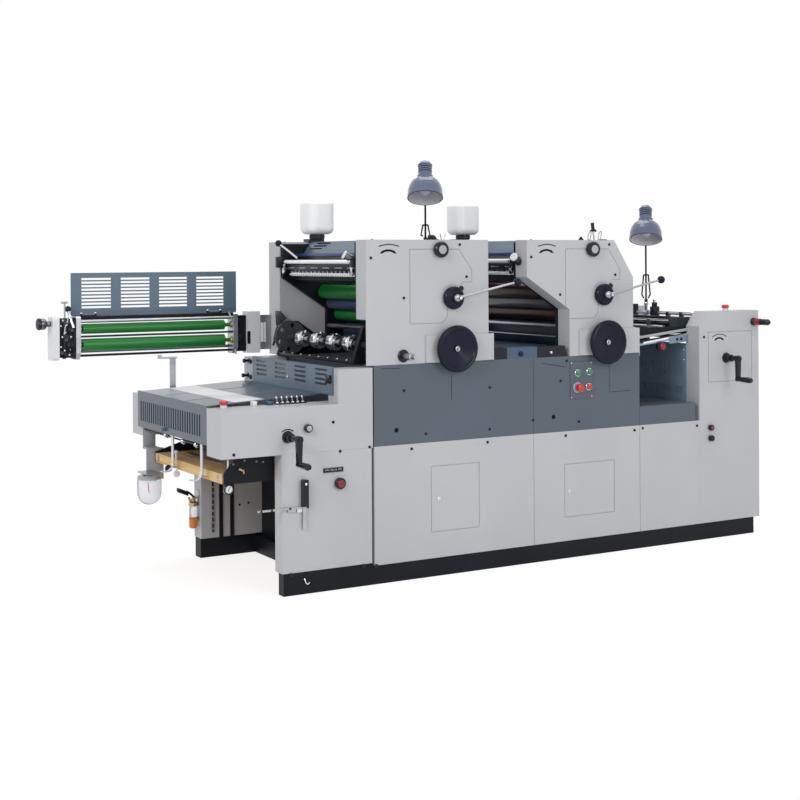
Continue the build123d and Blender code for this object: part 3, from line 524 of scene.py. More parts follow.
def scaleMarks():
    # x, z, radius, half the arc in degrees, stroke; the first two are on both towers
    marks = {"thin": (123, 1423, 155, 19.6, 2.6), "thick": (119, 1482, 68, 33, 5.4),
             "feederThin": (2600, 1000, 95, 32, 2.2), "feederThick": (2598, 1029, 45, 40, 4.6),
             "crank": (24, 700, 48, 34, 2.8)}
    selector = {"face": -3.6, "dials": (220, 285), "ticks": (240, 247, 254, 261, 268)}
    strokes = []
    for key, (x, z, radius, half, width) in marks.items():
        for start in towerStarts.values() if key in ("thin", "thick") else (0,):
            points = arc(x + start, z, radius, radians(half))
            strokes.append(bar(points, width, smooth=True))
            for tip, inner in ((points[0], points[1]), (points[-1], points[-2])):
                heading = Vector(tip) - Vector(inner)
                strokes.append(turned([(width * 1.3, -width * 2), (0.2, width * 2)], tip, heading, 12))
    keep([flattened(joined(strokes), 0.12)], "scaleMarks", "paintedShadeAndPrint")
    keep([slab((203, selector["face"], 540), (302, -3, 558), 0.2)], "selectorPlate", "blackGloss")
    ticks = [bar(arc(x, 541, 11, radians(50), selector["face"]), 1.1, smooth=True) for x in selector["dials"]]
    ticks += [bar(onFace([(x, 546), (x, 553)], selector["face"]), 0.9) for x in selector["ticks"]]
    keep([flattened(joined(ticks), 0.3, at=selector["face"])], "selectorTicks", "whitePlastic")


def wheelsAndDials():
    dial = {"inset": 470, "wheelZ": 1080, "z": 1322, "ticks": range(-50, 60, 10), "knob": (401, 1553),
            "plug": (522, 1366), "stub": (626, 1054)}
    for n, start in towerStarts.items():
        x = start + dial["inset"]
        wheel, hub = (x, 0, dial["wheelZ"]), (x, 0, dial["z"])
        bolt = turned([(8.5, 48.6), (8.5, 55), (7.4, 57.5), (1, 57.5)], wheel, toOperator, 6)
        washer = turned([(13, 48.4), (13, 50.4), (11.5, 51.4), (7, 51.4)], wheel, toOperator, 32)
        keep([bolt, washer], f"handwheelBolt{n}", "brightSteel", f"handwheel_{n}")
        lone(f"leverCollar{n}", "brightSteel",
             [(15.4, 37), (17.6, 39), (17.6, 53), (15.5, 57), (11, 59.5), (1, 60)], hub, sides=32,
             body=f"impression_lever_{n}")
        lone(f"leverCap{n}", "chrome", [(5, 59), (5, 74), (8, 76), (8, 84), (5, 87), (1, 87)], hub, sides=20,
             body=f"impression_lever_{n}")
        lone(f"dialRing{n}", "blackSteel", [(50, 0), (50, 9), (46.4, 10.3), (46, 9)], hub, sides=40)
        ticks = [bar([(x + r * sin(radians(a)), 0, dial["z"] + r * cos(radians(a))) for r in (60, 66)], 1.1)
                 for a in dial["ticks"]]
        keep([flattened(joined(ticks), 0.3)], f"dialTicks{n}", "blackSteel")
        lone(f"knobFace{n}", "palePlate",
             [(21, 29.4), (21, 31), (19, 32), (13, 32.4), (12, 31), (4, 31), (3, 32.4), (1, 32.4)],
             (start + dial["knob"][0], 0, dial["knob"][1]), sides=32)
        lone(f"towerPlug{n}", "blackGloss", [(13, 0), (13, 3), (11, 6.6), (5, 7), (4, 5)],
             (start + dial["plug"][0], 0, dial["plug"][1]), sides=24)
    lone("stubCollar", "blackGloss", [(30, 0), (30, 5), (27, 8.5), (14, 9), (13, 8)],
         (dial["stub"][0], 0, dial["stub"][1]), sides=32)


def pushButtons():
    buttons = {"green": [(1643, 928), (1716, 932)], "red": (1712, 856), "stop": (1642, 855),
               "stops": [(-225, 140, press["boxTop"]), (2700, 60, press["feederTop"])],
               "switches": {"Red": (595, "darkRed"), "Face": (539, "blackSteel")}, "switchX": 2530,
               "selector": (283, 0, 486)}
    places = onFace(buttons["green"] + [buttons["red"]])
    row("buttonBezels", "chrome", [(19, 4), (19, 8), (17.5, 10), (14.6, 10), (14.4, 6)], places, sides=28)
    dome = [(13.6, 17.8), (13, 19.4), (10, 20.8), (4, 21.4), (0.5, 21.5)]
    row("greenDomes", "greenPlastic", dome, places[:2], sides=24)
    stop = (buttons["stop"][0], 0, buttons["stop"][1])
    cap = turned([(20, 33.5), (19.4, 36), (16, 38.6), (9, 40.4), (1, 41)], stop, toOperator, 28)
    keep([cap, turned(dome, places[2], toOperator, 24)], "redDomes", "redPlastic")
    lone("stopRing", "paleBlue", [(27, 4), (27, 5), (25, 6), (20, 6), (19, 5)], stop, sides=32)
    lone("selectorInsert", "darkRed", [(18, 21.5), (18, 24), (16, 26), (8, 27), (1, 27)], buttons["selector"])
    for part, (z, paint) in buttons["switches"].items():
        lone(f"feederSwitch{part}", paint, [(12, 21.5), (12, 23), (10, 24.5), (1, 25)],
             (buttons["switchX"], 0, z), sides=24)
    stops = {"Caps": ([(19.5, 25.5), (19, 28), (15, 30.5), (8, 32), (1, 32.4)], "redPlastic"),
             "Bases": ([(17, 0), (17, 9), (14, 12), (12.4, 13)], "whitePlastic")}
    for part, (rings, paint) in stops.items():
        keep([turned(rings, place, upwards, 28) for place in buttons["stops"]], f"stop{part}", paint)


panelScrews()
rearFace()
bandMarks()
scaleMarks()
wheelsAndDials()
pushButtons()
print("operator's face done")


# Delivery end
def hoodTop():
    hood = {"strip": (-158, -12), "y": (176, 1006), "rise": 27 / 556, "from": -286, "seams": (438, 725),
            "seamEnds": ((-280, 0.4), (262, 26.6))}
    x0, x1 = hood["strip"]
    low = press["hoodTop"] + (x0 - hood["from"]) * hood["rise"]
    piece = leaning(slab((x0, hood["y"][0], low), (x1, hood["y"][1], low + 1.6), 0), x0, hood["rise"])
    keep([soften(piece, 0.6)], "hoodStrip", "whitePlastic")
    seams = [bar([(x, y, press["hoodTop"] + up) for x, up in hood["seamEnds"]], 1.3) for y in hood["seams"]]
    keep(seams, "hoodSeams", "coverPaint")


def boxTopSwitches():
    switches = {"switchWhite": ((-93, -70), 22, "whitePlastic"), "switchNavy": ((-20, 11), 16, "navyPaint")}
    base = {"x": (28, 180), "y": (118, 148), "levers": range(37, 180, 26)}
    top = press["boxTop"]
    near, far = base["y"]
    for name, ((x0, x1), height, paint) in switches.items():
        keep([slab((x0, near, top), (x1, far, top + height), 2.5)], name, paint)
    keep([slab((base["x"][0], near + 2, top), (base["x"][1], far - 2, top + 5), 1.5)], "switchBase",
         "blackPaint")
    row("switchLevers", "chrome", [(8, 4), (8, 9), (5, 11), (3, 12), (3, 26), (5.4, 29), (5.4, 35), (3, 38)],
        [(x, 133, top) for x in base["levers"]], (-0.25, -0.2, 1))


def hoodEnd():
    end = {"x": -298, "knob": (690, 700), "wheels": [(719, 668), (497, 662), (336, 664)], "axle": (161, 1022)}
    axleX = end["x"] + 24
    lone("hoodKnob", "guardPaint", [(7, 0), (7, 5), (10, 7), (10, 15), (8, 18), (1, 19)],
         (end["x"], *end["knob"]), toDelivery, 20)
    row("hoodWheels", "chrome", [(4, -16), (4, -10), (12, -9), (14, -7), (14, 7), (12, 9), (4, 10), (4, 16)],
        [(axleX, y, z) for y, z in end["wheels"]], toDrive, 22)
    keep([across(axleX, 664, 4, end["axle"])], "hoodAxle", "blackSteel")
    lone("boardStopKnob", "whitePlastic", [(9, 0), (9, 4), (5, 6), (5, 22), (11, 27), (11, 38), (1, 42)],
         (-238, 690, 555), upwards, 18, "pile_board")


def straps():
    # pale straps hang from the hood's end and curl outwards at the foot
    hang = {"x": -287, "top": 690, "half": 11, "foot": {610: 520, 250: 526}, "wires": (-7, -2.4, 2.4, 7)}
    pieces, hooks = [], []
    for y, low in hang["foot"].items():
        x = hang["x"]
        pieces.append(slab((x - 3, y - hang["half"], low + 12), (x + 1, y + hang["half"], hang["top"]), 1))
        curl = [(x - 1, low + 30), (x - 4, low + 8), (x - 18, low - 8), (x - 36, low - 12), (x - 58, low - 8)]
        hooks += [bar(onFace(curl, y + side), 3.2, smooth=True) for side in hang["wires"]]
    keep(pieces, "strapFaces", "whitePlastic")
    keep(hooks, "strapHooks", "whitePlastic")
    wheel = turned([(6, -9), (15, -8), (17, -5), (17, 5), (15, 8), (6, 9)], (-300, 632, 520), toDrive, 26)
    keep([wheel, bar([(-291, 604, 533), (-300, 644, 520)], 4)], "strapWheel", "blackGloss")
    pale = turned([(6, -7), (14, -6), (16, -3), (16, 3), (14, 6), (6, 7)], (-270, 604, 496), toDrive, 26)
    keep([pale, bar([(-270, 604, 528), (-270, 604, 496)], 4)], "strapRoller", "whitePlastic")


def guideDetails():
    # the rear guide plate matches the one that the photograph shows on the operator's side
    guide = {"low": (-250, 941, 511), "high": (-5, 947, 635), "cut": (-200, 560), "gauge": (-225, 98, 488),
             "studs": ((-205, 600), (-92, 604), (-150, 612), (-60, 600))}
    plate = slab(guide["low"], guide["high"], 0)
    for corner in plate.data.vertices:
        if corner.co.x < spot(guide["cut"][0], 0, 0).x and corner.co.z > 0.6:
            corner.co.z = guide["cut"][1] * mm
    keep([soften(plate, 1)], "rearGuidePlate", "blackPaint")
    handle = [bar([(-172, 85, 575), (-172, 74, 575)], 4), bar([(-184, 73, 578), (-160, 73, 568)], 4.5),
              bar([(-160, 73, 572), (-158, 73, 556)], 3.5)]
    keep(handle, "guideHandle", "brass")
    row("guideStuds", "darkSteel", [(6, 0), (6, 3), (4.5, 5), (1, 5)], onFace(guide["studs"], 85))
    keep([slab((-230, 91, 500), (-222, 98, 630), 1)], "gaugeBracket", "brightSteel")
    lone("gaugeCase", "blackGloss", [(24, 0), (24, 14), (22, 16), (18, 16), (17.6, 12), (1, 12)],
         guide["gauge"], sides=32)
    lone("gaugeFace", "whitePlastic", [(17.4, 12.2), (17, 13), (1, 13)], guide["gauge"], sides=32)
    keep([bar([(-229, 84.4, 481), (-218, 84.4, 500)], 1.1)], "gaugeNeedle", "blackSteel")


def lubricator():
    at = {"x": -30, "y": 1000, "brass": 262, "glass": 208, "cup": 150}
    x, y = at["x"], at["y"]
    plate = slab((-8, y - 26, 190), (-5, y + 26, 345), 1)
    arm = slab((-34, y - 9, 300), (-5, y + 9, 308), 1)
    keep([plate, arm], "lubricatorBracket", "brightSteel")
    cap = turned([(16, 0), (22, 3), (22, 18), (17, 22), (13, 26), (13, 36), (8, 38)], (x, y, at["brass"]),
                 upwards, 24)
    nipple = turned([(5, 0), (5, 20), (7, 21), (7, 30), (3, 32)], (x - 16, y - 6, at["brass"] + 18),
                    (-0.3, 0, 1), 16)
    keep([cap, nipple], "lubricatorCap", "brass")
    for name, paint, rings in (("glass", "jarGlass", [(19, 0), (20, 3), (20, 50), (16, 54)]),
                               ("cup", "orangePlastic", [(12, 0), (19, 5), (21, 52), (15, 58)])):
        lone(f"lubricator{name.title()}", paint, rings, (x, y, at[name]), upwards, 24)
    lever = bar([(-18, y, 300), (-40, y - 2, 326), (-66, y - 4, 340)], 6, smooth=True)
    blade = slab((-116, y - 18, 340), (-58, y + 10, 364), 6)
    keep([lever, leaning(blade, -116, -0.42)], "pumpHandle", "blackGloss")


def oilJar():
    jar = {"x": -317, "y": 847, "foot": 318, "lid": 453,
           "bowl": [(1, 0), (18, 2.6), (34, 10), (46, 21), (54, 35), (59, 52), (60, 66), (60, 132), (58, 134),
                    (46, 140), (45, 143.6)]}
    x, y = jar["x"], jar["y"]
    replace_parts(lone("jarBowl", "jarGlass", jar["bowl"], (x, y, jar["foot"]), upwards, 56), "oil_jar")
    lid = turned([(52, 444), (55, 447), (55, 459), (50, 461.4), (30, 461.6)], (x, y, 0), upwards, 48)
    keep([toothed(lid, 2, (x, y, jar["lid"]), 1.02)], "jarLid", "palePlate")
    keep([bar([(x - 27, y - 54, 436), (x - 22, y - 56, 386)], 2)], "jarFloat", "redPlastic")
    lone("jarBolt", "blackGloss", [(9, 0), (9, 4), (6, 6), (1, 6)], (-268, 950, 441), sides=16)
    faces = [slab((-293, 949, 422), (-204, 957, 578), 1), slab((-283, 1021, 569), (-219, 1031, 636), 1),
             slab((-283, 950, 569), (-219, 1031, 579), 1)]
    keep(faces, "jarHolder", "palePlate")


def pileBoard():
    board = {"top": 555, "joints": (-150, -40, 70, 180), "ends": (107, 936), "tabs": (150, 893)}
    keep([slab((-122, 268, board["top"]), (-98, 861, board["top"] + 1.4), 0.4)], "boardStrip", "brightSteel",
         "pile_board")
    planks = [across(x, board["top"], 1, board["ends"]) for x in board["joints"]]
    keep([flattened(joined(planks), 0.5, "z", board["top"])], "boardJoints", "brownRubber", "pile_board")
    tabs = [slab((-251.2, y - 9, 517), (-250, y + 9, 549), 0.4) for y in board["tabs"]]
    keep(tabs, "boardTabs", "brightSteel", "pile_board")


def rearRail():
    rail = {"studs": 15, "foot": 150, "pitch": 30, "bolts": [(204, 255), (254, 261), (228, 420), (300, 560)]}
    keep([slab((52, 942, 130), (60, 950, 600), 1)], "rackBar", "blackSteel")
    row("rackStuds", "brightSteel", [(5, 0), (5, 2), (3, 3), (1, 3)],
        [(56, 942, rail["foot"] + rail["pitch"] * i) for i in range(rail["studs"])], sides=12)
    row("cabinetBolts", "blackSteel", [(6, 0), (6, 3), (4, 4), (1, 4)], onFace(rail["bolts"], 950), sides=12)


def boxBolts():
    # bolts on the end of the far raised box, and the catch at the near end of the guard
    bolts = {"x": 280, "long": [(988, 988), (1002, 912)], "short": [(964, 984), (965, 905), (940, 876)]}
    rings = {"long": [(13, 0), (13, 3), (7, 4), (7, 24), (11, 25), (11, 33), (8, 35), (1, 35)],
             "short": [(11, 0), (11, 7), (8, 10), (1, 10)]}
    heads = [repeat(turned(rings[kind], middle, toDelivery, 18), [(bolts["x"], y, z) for y, z in bolts[kind]])
             for kind in rings]
    keep(heads, "raisedBoxBolts", "blackGloss")
    keep([slab((244, 44, 938), (270, 62, 976), 2), slab((252, 38, 944), (262, 45, 958), 1.5)], "guardCatch",
         "blackGloss")
    lone("guardStud", "chrome", [(6, 0), (6, 5), (4, 7), (1, 7)], (270, 500, 940), toDelivery, 16)


def gripDetails():
    cranks = {"delivery_crank": (24, 714, 117), "feeder_crank": (2647, 965, 92)}
    lone("gripPin", "chrome", [(6, 30), (6, 32), (4, 33.4), (1, 33.6)], (100, 0, 500), sides=16)
    keep([slab((66, -9, 372), (92, -4, 392), 1.2)], "stopBlock", "whitePlastic")
    row("bladeScrews", "blackSteel", [(5, 0), (5, 2.4), (4, 3.4), (2, 3.4), (1.6, 2)],
        [(x, -11, 393) for x in (-112, -60, 30, 118)])
    for name, (x, z, reach) in cranks.items():
        lone(f"{name}Nut", "blackSteel", [(8, reach + 9), (8, reach + 14), (6, reach + 16), (1, reach + 16)],
             (x, 0, z), sides=6, body=name)
    lone("knobFaceLow", "palePlate", [(13, 23.5), (13, 25), (11, 26.5), (1, 27)], (122, 0, 748), sides=22)
    lone("feederKnobCollar", "darkRed", [(17.6, 0), (18.5, 3), (18.5, 36), (16, 38)], (2846, -20, 1155),
         sides=24)


def baseDetails():
    eyes = {"places": [(37, 94), (406, 93), (474, 85)], "radius": 8, "corners": 12}
    turns = [2 * pi * i / eyes["corners"] for i in range(eyes["corners"] + 1)]
    ring = bar([(eyes["radius"] * cos(turn), -4, eyes["radius"] * sin(turn)) for turn in turns], 2.6)
    stem = turned([(5, 0), (5, 5), (3, 6)], middle, toOperator, 12)
    keep([repeat(joined([ring, stem]), onFace(eyes["places"]))], "eyeBolts", "blackSteel")
    hook = bar([(104, -2, 70), (104, -8, 56), (110, -10, 47), (119, -10, 46), (124, -8, 53)], 3.2, smooth=True)
    keep([hook], "baseHook", "chrome")


hoodTop()
boxTopSwitches()
hoodEnd()
straps()
guideDetails()
lubricator()
oilJar()
pileBoard()
rearRail()
boxBolts()
gripDetails()
baseDetails()
print("delivery end done")


# Towers
def wingScrew(at, towards=toDelivery):
    x, y, z = at
    stem = turned([(6, 0), (6, 18), (10, 19), (10, 30), (4, 32)], at, towards, 16)
    wings = [turned([(10, -5), (12, -3.5), (12, 3.5), (10, 5)], (x - 26, y, z + up), toFeeder, 20)
             for up in (13, -13)]
    return joined([stem, *wings])


def inkKeys():
    keys = {"count": 28, "z": 1434, "ends": (146, 812), "dashes": range(180, 840, 130)}
    knurl = turned([(7, 0), (7.8, 1), (7.8, 14), (7, 15), (3.6, 15), (3.2, 26)], middle, toDelivery, 20)
    step = (keys["ends"][1] - keys["ends"][0]) / (keys["count"] - 1)
    places = [(start + 28, keys["ends"][0] + i * step, keys["z"]) for start in towerStarts.values()
              for i in range(keys["count"])]
    # the keys' near-white finish is a painted reflection of shining steel
    keep([repeat(toothed(knurl, 0, middle, 1.12), places)], "inkKeyScrews", "steelPaintedShine")
    dash = slab((-1.4, -36, -2.4), (0.4, 36, 2.4), 0.6)
    keep([repeat(dash, [(start + 18, y, 1467) for start in towerStarts.values() for y in keys["dashes"]])],
         "fountainDashes", "brightSteel")


def towerMouths():
    mouth = {"sleeve": (14, 1497), "ends": (122, 904), "lipZ": (1524, 1540),
             "wings": ((884, 1462), (142, 1455)),
             "knobs": [((444, 150, 1508), (-0.75, 0.3, 0.42)), ((1337, 66, 1496), (-0.85, -0.28, 0.4))],
             "slots": ((161, 672, 1589), (151, 699, 1575), (143, 726, 1561)), "nuts": (134, 916),
             "studs": (190, 500, 640, 850)}
    starts = towerStarts.values()
    near, far = mouth["ends"]
    wings, clamps, lips, sleeves = [], [], [], []
    for start in starts:
        wings += [wingScrew((start + 28, y, z)) for y, z in mouth["wings"]]
        lips.append(slab((start + 62, near, mouth["lipZ"][0]), (start + 74, far, mouth["lipZ"][1]), 2))
        x, z = start + mouth["sleeve"][0], mouth["sleeve"][1]
        sleeves.append(turned([(8, 140), (10, 142), (10, 886), (8, 888)], (x, 0, z), toDrive, 24))
        clamps += [slab((x - 38, 903, z - 30), (x + 5, 932, z + 27), 3),
                   slab((x - 19, 121, z - 27), (x + 3, 146, z + 19), 3),
                   slab((x + 4, near, z - 44), (x + 12, far, z - 14), 2)]
    clamps += [turned([(24, 0), (24, 6), (20, 8), (14, 9)], *knob, 30) for knob in mouth["knobs"]]
    stems = [turned([(14, 8), (17, 12), (17, 44), (19, 46)], *knob, 30) for knob in mouth["knobs"]]
    discs = [turned([(21, 45), (21, 52), (19, 54), (8, 55), (7, 53), (1, 53)], *knob, 30)
             for knob in mouth["knobs"]]
    keep(wings, "fountainScrews", "chrome")
    keep(clamps, "fountainClamps", "blackSteel")
    keep(stems, "fountainKnobStems", "darkSteel")
    keep(discs, "fountainKnobs", "whitePlastic")
    keep(lips, "fountainLips", "navyPaint")
    keep(sleeves, "fountainSleeves", "steelPaintedShine")
    # near-black slabs in the fountain covers' slots: painted shade
    shades = [slab((start + x, y, z), (start + x + 6, y + 137, z + 6), 0)
              for start in starts for x, y, z in mouth["slots"]]
    keep(shades, "coverSlotShade", "paintedShadeAndPrint")
    keep([bar([(436, 737, 1517), (430, 790, 1540), (420, 840, 1566), (407, 886, 1589)], 5, smooth=True)],
         "fountainLever", "chrome")
    lone("fountainBall", "navyGloss",
         [(5, -17), (12, -12.5), (16.5, -6), (17.5, 0), (16.5, 6), (12, 12.5), (5, 17)], (405, 891, 1593),
         (-0.1, 0.7, 0.6))
    row("barNuts", "chrome", [(8, 0), (8, 6), (6, 8), (1, 8)],
        [(start - 11, y, mouth["sleeve"][1]) for start in starts for y in mouth["nuts"]], toDelivery, 6)
    row("coverStuds", "chrome", [(6, 0), (6, 4), (4, 6), (1, 6)],
        [(start + 153, y, 1558) for start in starts for y in mouth["studs"]], (-0.84, 0, 0.54))


def clampRow():
    clamp = {"low": (411, 124, 1016), "high": (428, 902, 1031), "screws": 8, "pitch": 98}
    keep([slab(clamp["low"], clamp["high"], 1.5)], "clampBar", "blackSteel")
    row("clampScrews", "chrome", [(7, 0), (7, 4), (5.5, 6), (3, 6), (2.6, 3)],
        [(418, 170 + clamp["pitch"] * i, clamp["high"][2]) for i in range(clamp["screws"])], (-0.4, 0, 1))


def numberingWheels():
    wheels = {"x": 470, "z": press["bandTop"] + 92, "spools": (0.13, 0.35, 0.57, 0.79), "radius": 41,
              "collars": (0.05, 0.24, 0.46, 0.68, 0.89)}
    low, high = press["inside"]
    r = wheels["radius"]
    rings = {"spools": [(16, -44), (24, -43), (24, -34), (19, -33), (19, -26), (29, -25), (r - 2, -20),
                        (r, -18), (r, -13), (r - 5, -12), (r - 5, -9), (r, -8), (r, -3), (r - 5, -2),
                        (r - 5, 2), (r, 3), (r, 8), (r - 5, 9), (r - 5, 12), (r, 13), (r, 18), (r - 2, 20),
                        (29, 25), (19, 26), (19, 33), (24, 34), (24, 43), (16, 44)],
             "collars": [(18, -8), (20, -7), (20, 7), (18, 8)]}
    for kind, name, paint, sides in (("spools", "numberingSpools", "chrome", 36),
                                     ("collars", "numberingCollars", "blackSteel", 28)):
        places = [(wheels["x"], low + share * (high - low), wheels["z"]) for share in wheels[kind]]
        row(name, paint, rings[kind], places, toDrive, sides, "numbering_shaft")


def hingeSide():
    side = {"outline": [(978, 1242), (924, 1242), (850, 1208), (903, 1188), (907, 1170), (968, 1168)],
            "x": 424, "thick": 6}
    bpy.ops.object.select_all(action="DESELECT")
    bpy.ops.mesh.primitive_circle_add(vertices=len(side["outline"]), fill_type="NGON")
    guard = bpy.context.object
    for corner, (y, z) in zip(guard.data.vertices, side["outline"]):
        corner.co = spot(side["x"], y, z)
    bpy.ops.object.mode_set(mode="EDIT")
    bpy.ops.mesh.extrude_region_move(TRANSFORM_OT_translate={"value": (side["thick"] * mm, 0, 0)})
    bpy.ops.object.mode_set(mode="OBJECT")
    keep([soften(outwards(guard), 1)], "discGuard", "blackSteel")
    levers = [bar([(430, 956, 1172), (412, 952, 1128), (405, 950, 1092)], 5, smooth=True),
              bar([(430, 972, 1098), (410, 966, 1082), (404, 958, 1064)], 6, smooth=True),
              turned([(11, 0), (11, 8), (8, 10), (1, 10)], (429, 962, 1120), toDelivery, 20)]
    keep(levers, "hingeSideLevers", "blackSteel")


def towerTops():
    toggle = {"foot": (1803, 60, 1600), "knee": (1797, 60, 1645), "tip": (1791, 60, 1690),
              "loops": (1780, 1846)}
    keep([bar([toggle["foot"], toggle["knee"]], 4.5)], "toggleStem", "brightSteel")
    grip = bar([toggle["knee"], toggle["tip"]], 9, thick=4)
    ear = bar([(1780, 60, 1646), (1798, 60, 1658), (1814, 60, 1646)], 6)
    knob = turned([(2, 0), (13, 1), (13, 4), (4, 18), (1, 19)], (1718, 60, 1600), upwards, 20)
    line = bar([(1836, 60, 1602), (1884, 60, 1602)], 3)
    keep([grip, ear, knob, line], "toggleGrip", "blackGloss")
    loops = [bar(onFace([(x - 16, 1600), (x - 20, 1624), (x, 1652), (x + 6, 1634), (x - 6, 1600)], 60), 2.6,
                 smooth=True) for x in toggle["loops"]]
    keep(loops, "towerLoops", "palePlate")
    # a knurled knob and a wing nut on the tie bar
    tie = {"x": 1060, "top": 1583, "dome": 445, "wing": 345}
    dome = turned([(13, 0), (13, 16), (26, 17), (27, 23), (24, 33), (18, 42), (9, 48), (1, 50)],
                  (tie["x"], tie["dome"], tie["top"]), upwards, 28)
    keep([toothed(dome, 2, (tie["x"], tie["dome"], tie["top"] + 25), 1.03)], "topDome", "navyGloss")
    wing = [bar([(tie["x"], tie["wing"], tie["top"]), (tie["x"] + dx / 2, tie["wing"], 1610),
                 (tie["x"] + dx, tie["wing"], 1636)], 2.6) for dx in (-13, 19)]
    keep(wing, "topWing", "brightSteel")
    row("topScrews", "blackSteel", [(6, 0), (6, 2), (5, 3.2), (2.6, 3.2), (2.2, 1.5)],
        [(start + dx, y, press["towerTop"]) for start in towerStarts.values() for dx in (60, 420)
         for y in (48, 990)], upwards, 12)
    keep([slab((2008, 6, 1395), (2012, 90, 1408), 1)], "shoulderPlate", "blackSteel")


def bottles():
    bottle = {"x": 203, "y": press["width"] - 142, "z": press["towerTop"]}
    for n, start in towerStarts.items():
        at = (start + bottle["x"], bottle["y"], bottle["z"])
        cap = turned([(37, 17), (39.4, 19), (39.4, 37), (37, 39.4), (20, 39.6)], at, upwards, 48)
        keep([toothed(cap, 2, (at[0], at[1], at[2] + 28), 1.035)], f"bottleCap{n}", "blackGloss")
        lone(f"bottleTop{n}", "clearPlastic", [(30, 206), (32, 207.6), (28, 208), (10, 208)], at, upwards, 32)


inkKeys()
towerMouths()
clampRow()
numberingWheels()
hingeSide()
towerTops()
bottles()
print("towers done")


# Swung-out inking unit
unit = {"left": -615, "right": 243, "y": hingeLine + 30, "gearbox": -699, "cover": -733, "knobZ": 1202,
        "rollers": (1094, 1173)}


def inkGears():
    left, right, y = unit["left"], unit["right"], unit["y"]
    train = ((y, 1094, 34, 46, 40), (y, 1173, 30, 40, 36), (y + 18, 1134, 14, 61, 20),
             (hingeLine + 22, 1052, 18, 61, 24))
    gears = []
    for gy, gz, radius, reach, teeth in train:
        disc = turned([(radius + 0.6, -12), (radius + 0.6, 0)], (left - reach + 12.5, gy, gz), toFeeder,
                      teeth * 2)
        gears.append(toothed(disc, 0, (0, gy, gz), 1 + 4 / radius))
        gears.append(turned([(radius * 0.55, 0), (radius * 0.5, 4), (radius * 0.3, 5), (1, 5)],
                            (left - reach - 0.2, gy, gz), toDelivery, 24))
    keep(gears, "inkGears", "blackSteel", "swing_unit")
    bearings = [turned([(17, 0), (17, 6), (14, 9), (11, 9), (10.8, 8)], (x, y, z), (way, 0, 0), 24)
                for z in unit["rollers"] for x, way in ((left + 24, 1), (right - 24, -1))]
    keep(bearings, "rollerBearings", "brass", "swing_unit")


def inkBody():
    left, right, gearbox = unit["left"], unit["right"], unit["gearbox"]
    bits = {"nuts": [(-680, 1218), (-690, 1192), (-668, 1160), (-683, 1138), (-690, 1090), (-652, 1110),
                     (-672, 1072), (-648, 1050), (-634, 1200), (-640, 1138), (-662, 1196), (-656, 1085)],
            "posts": [(-674, 1150, 46), (-645, 1072, 34), (-660, 1206, 26)],
            "springs": ((-664, 1124), (-636, 1170), (-686, 1060))}
    keep([slab((left + 10, hingeLine + 79, 1200), (right - 10, hingeLine + 80, 1235), 0.4),
          slab((left + 23, hingeLine + 44, 1214), (right - 23, hingeLine + 79.5, 1235), 1),
          slab((gearbox, hingeLine + 10, 1038), (left - 10, hingeLine + 70, 1228), 2)],
         "inkUnitBack", "blackSteel", "swing_unit")
    nuts = repeat(turned([(6, 0), (6, 5), (4.6, 7), (1, 7)], middle, toOperator, 6),
                  onFace(bits["nuts"], hingeLine + 10))
    posts = [bar([(x, hingeLine + 4, z), (x + 6, hingeLine + 2, z + length)], 3.4)
             for x, z, length in bits["posts"]]
    keep([nuts, *posts], "inkUnitNuts", "chrome", "swing_unit")
    coils = [(8, 0), (8, 3), (6, 4), (8, 5), (8, 8), (6, 9), (8, 10), (8, 13)]
    springs = [turned(coils, place, toOperator, 18) for place in onFace(bits["springs"], hingeLine + 12)]
    keep(springs, "inkUnitSprings", "castIron", "swing_unit")


